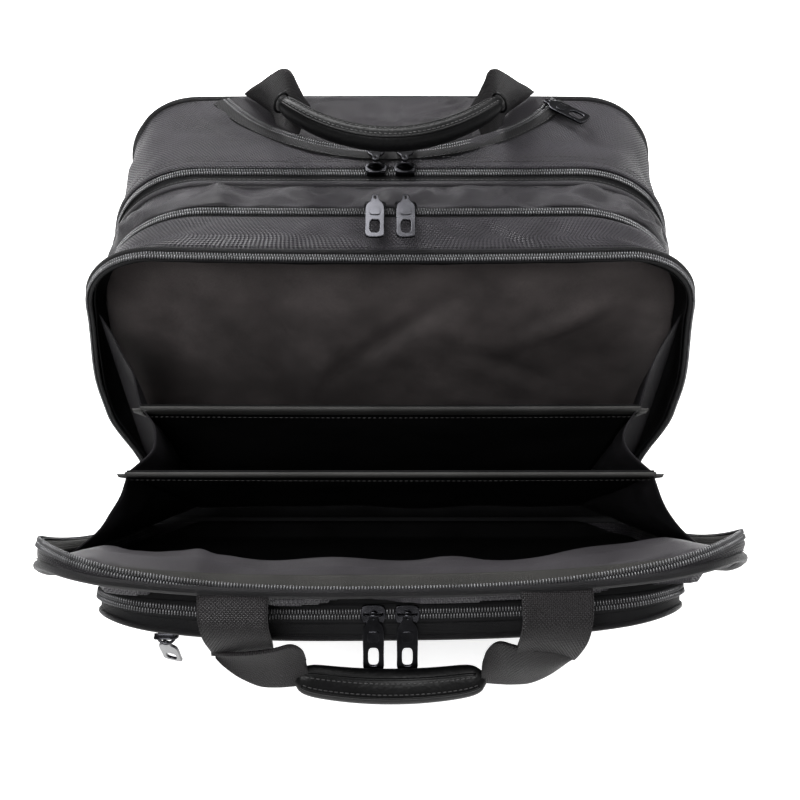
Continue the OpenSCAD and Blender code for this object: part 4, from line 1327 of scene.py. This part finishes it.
def paired_hardware(s, slider, pull):
    """The sliders and pulls of the four zips that have two of each."""
    side, x = side_name(s), s * SLIDER_X
    for row, y, forward in (("rear", REAR_ZIP_Y, 1), ("middle", MIDDLE_ZIP_Y, -1)):
        placed(f"{row}_slider_{side}", slider, (x, y, TOP), (1, 0, 0), (0, 1, 0))
        tilt = turn_about_x((0, forward, 0), -REST_TILT * forward)
        placed(f"{row}_pull_{side}", pull, pin_of(f"{row}_pull_{side}"), (forward, 0, 0), tilt)
    across = heading(1.0, 0.0, OPEN_ANGLE)
    at, hang = folded(x, POCKET_ZIP_D, POCKET_TOP, OPEN_ANGLE), turn_about_x(tuple(-across), POCKET_HANG)
    placed(f"pocket_slider_{side}", slider, at, (1, 0, 0), across)
    placed(f"pocket_pull_{side}", pull, pin_of(f"pocket_pull_{side}"), (-1, 0, 0), hang)
    _, y, z = pin = pin_of(f"front_zip_pull_{side}")
    placed(f"front_zip_slider_{side}", slider, (s * 212 * MM, y, z), (0, 0, -s), (0, 1, 0), body="bag")
    placed(f"front_zip_pull_{side}", pull, pin, (0, s, 0), (0, 0, -1))


def lower_hardware(slider, pull):
    at = folded(middle("lower_pocket_slider", 0), FACE_D, LOWER_ZIP_H, OPEN_ANGLE)
    placed("lower_pocket_slider", slider, at, (1, 0, 0), heading(0.0, 1.0, OPEN_ANGLE), "lower_slider")
    turn = unit(np.cross((0.2, 1.0, 0.1), LOWER_SWING)) * -1
    placed("lower_pocket_pull", pull, pin_of("lower_pocket_pull"), turn, LOWER_SWING, "lower_pull")


def rear_pocket_hardware(slider, pull):
    pin, axis = np.array(pin_of("rear_pocket_pull")), np.array(JOINTS["rear_pocket_pull_hinge"]["axis"])
    outward = unit(np.array([pin[0], pin[1] - CRESCENT_Y, 0.0]))
    small = [(v * SMALL_SLIDER, f) for v, f in slider]
    at = (pin[0], pin[1], TOP + POCKET_LIFT)
    placed("rear_pocket_slider", small, at, -axis, np.cross(UP, -axis))
    placed("rear_pocket_pull", pull, pin + [0, 0, POCKET_LIFT], np.cross(outward, UP), outward)


def build_hardware():
    slider, pull = slider_parts(), pull_parts()
    for s in (-1, 1):
        paired_hardware(s, slider, pull)
    lower_hardware(slider, pull)
    rear_pocket_hardware(slider, pull)


# ---- camera, light and floor ----
CAMERA_TILT = 50.37
FLOOR_HALF = 12.0
WHITE = (1, 1, 1, 1)
LIGHTS = {  # name: place, aim, size, watts
    "key": ((-0.35, 0.8, 1.2), (0, 0, 0.3), 0.6, 34),
    "fill": ((0.9, 0.1, 1.3), (0, -0.1, 0.25), 0.7, 14),
    "front": ((-0.3, -0.95, 1.65), (0, -0.1, 0.2), 0.8, 32),
}


def main_camera():
    """Looks down at the bag from in front, as a person standing over it does."""
    data = bpy.data.cameras.new("camera")
    data.lens = 42.38
    data.sensor_width = 36
    data.shift_x = 0.012
    cam = bpy.data.objects.new("camera", data)
    cam.location = (0, -0.5403, 0.7316)
    cam.rotation_euler = (math.radians(90 - CAMERA_TILT), 0, 0)
    bpy.context.scene.collection.objects.link(cam)
    bpy.context.scene.camera = cam


def area_light(name, place, aim, size, watts):
    data = bpy.data.lights.new(name, "AREA")
    data.size = size
    data.energy = watts
    lamp = bpy.data.objects.new(name, data)
    lamp.location = place
    lamp.rotation_euler = (Vector(aim) - Vector(place)).to_track_quat("-Z", "Y").to_euler()
    bpy.context.scene.collection.objects.link(lamp)


def white_floor():
    mat, _, bsdf = nodes_of("floor_white")
    bsdf.inputs["Base Color"].default_value = (0.9, 0.9, 0.9, 1)
    bsdf.inputs["Roughness"].default_value = 0.9
    bsdf.inputs["Emission Color"].default_value = WHITE
    bsdf.inputs["Emission Strength"].default_value = 0.6
    corners = rectangle(-FLOOR_HALF, -FLOOR_HALF, FLOOR_HALF, FLOOR_HALF)
    make("floor", [(x, y, 0) for x, y in corners], [(0, 1, 2, 3)], mat)


def white_world():
    """A world that the camera sees as white, and that lights the bag dimly."""
    world = bpy.data.worlds.new("studio")
    bpy.context.scene.world = world
    world.use_nodes = True
    tree = world.node_tree
    dim, bright = tree.nodes["Background"], tree.nodes.new("ShaderNodeBackground")
    dim.inputs[0].default_value = bright.inputs[0].default_value = WHITE
    dim.inputs[1].default_value = 0.3
    path, pick = tree.nodes.new("ShaderNodeLightPath"), tree.nodes.new("ShaderNodeMixShader")
    link(tree, path.outputs["Is Camera Ray"], pick.inputs[0])
    link(tree, dim.outputs[0], pick.inputs[1])
    link(tree, bright.outputs[0], pick.inputs[2])
    link(tree, pick.outputs[0], tree.nodes["World Output"].inputs[0])


def build_stage():
    white_floor()
    white_world()
    bpy.context.scene.view_settings.view_transform = "Standard"
    for name, settings in LIGHTS.items():
        area_light(name, *settings)


main_camera()
build_stage()
build_body()
build_base()
build_lining()
for which in DIVIDERS:
    build_divider(which)
build_pleats()
build_panel()
build_pocket()
build_back()
build_crescent()
build_rear_handle()
build_front_handle()
build_hardware()
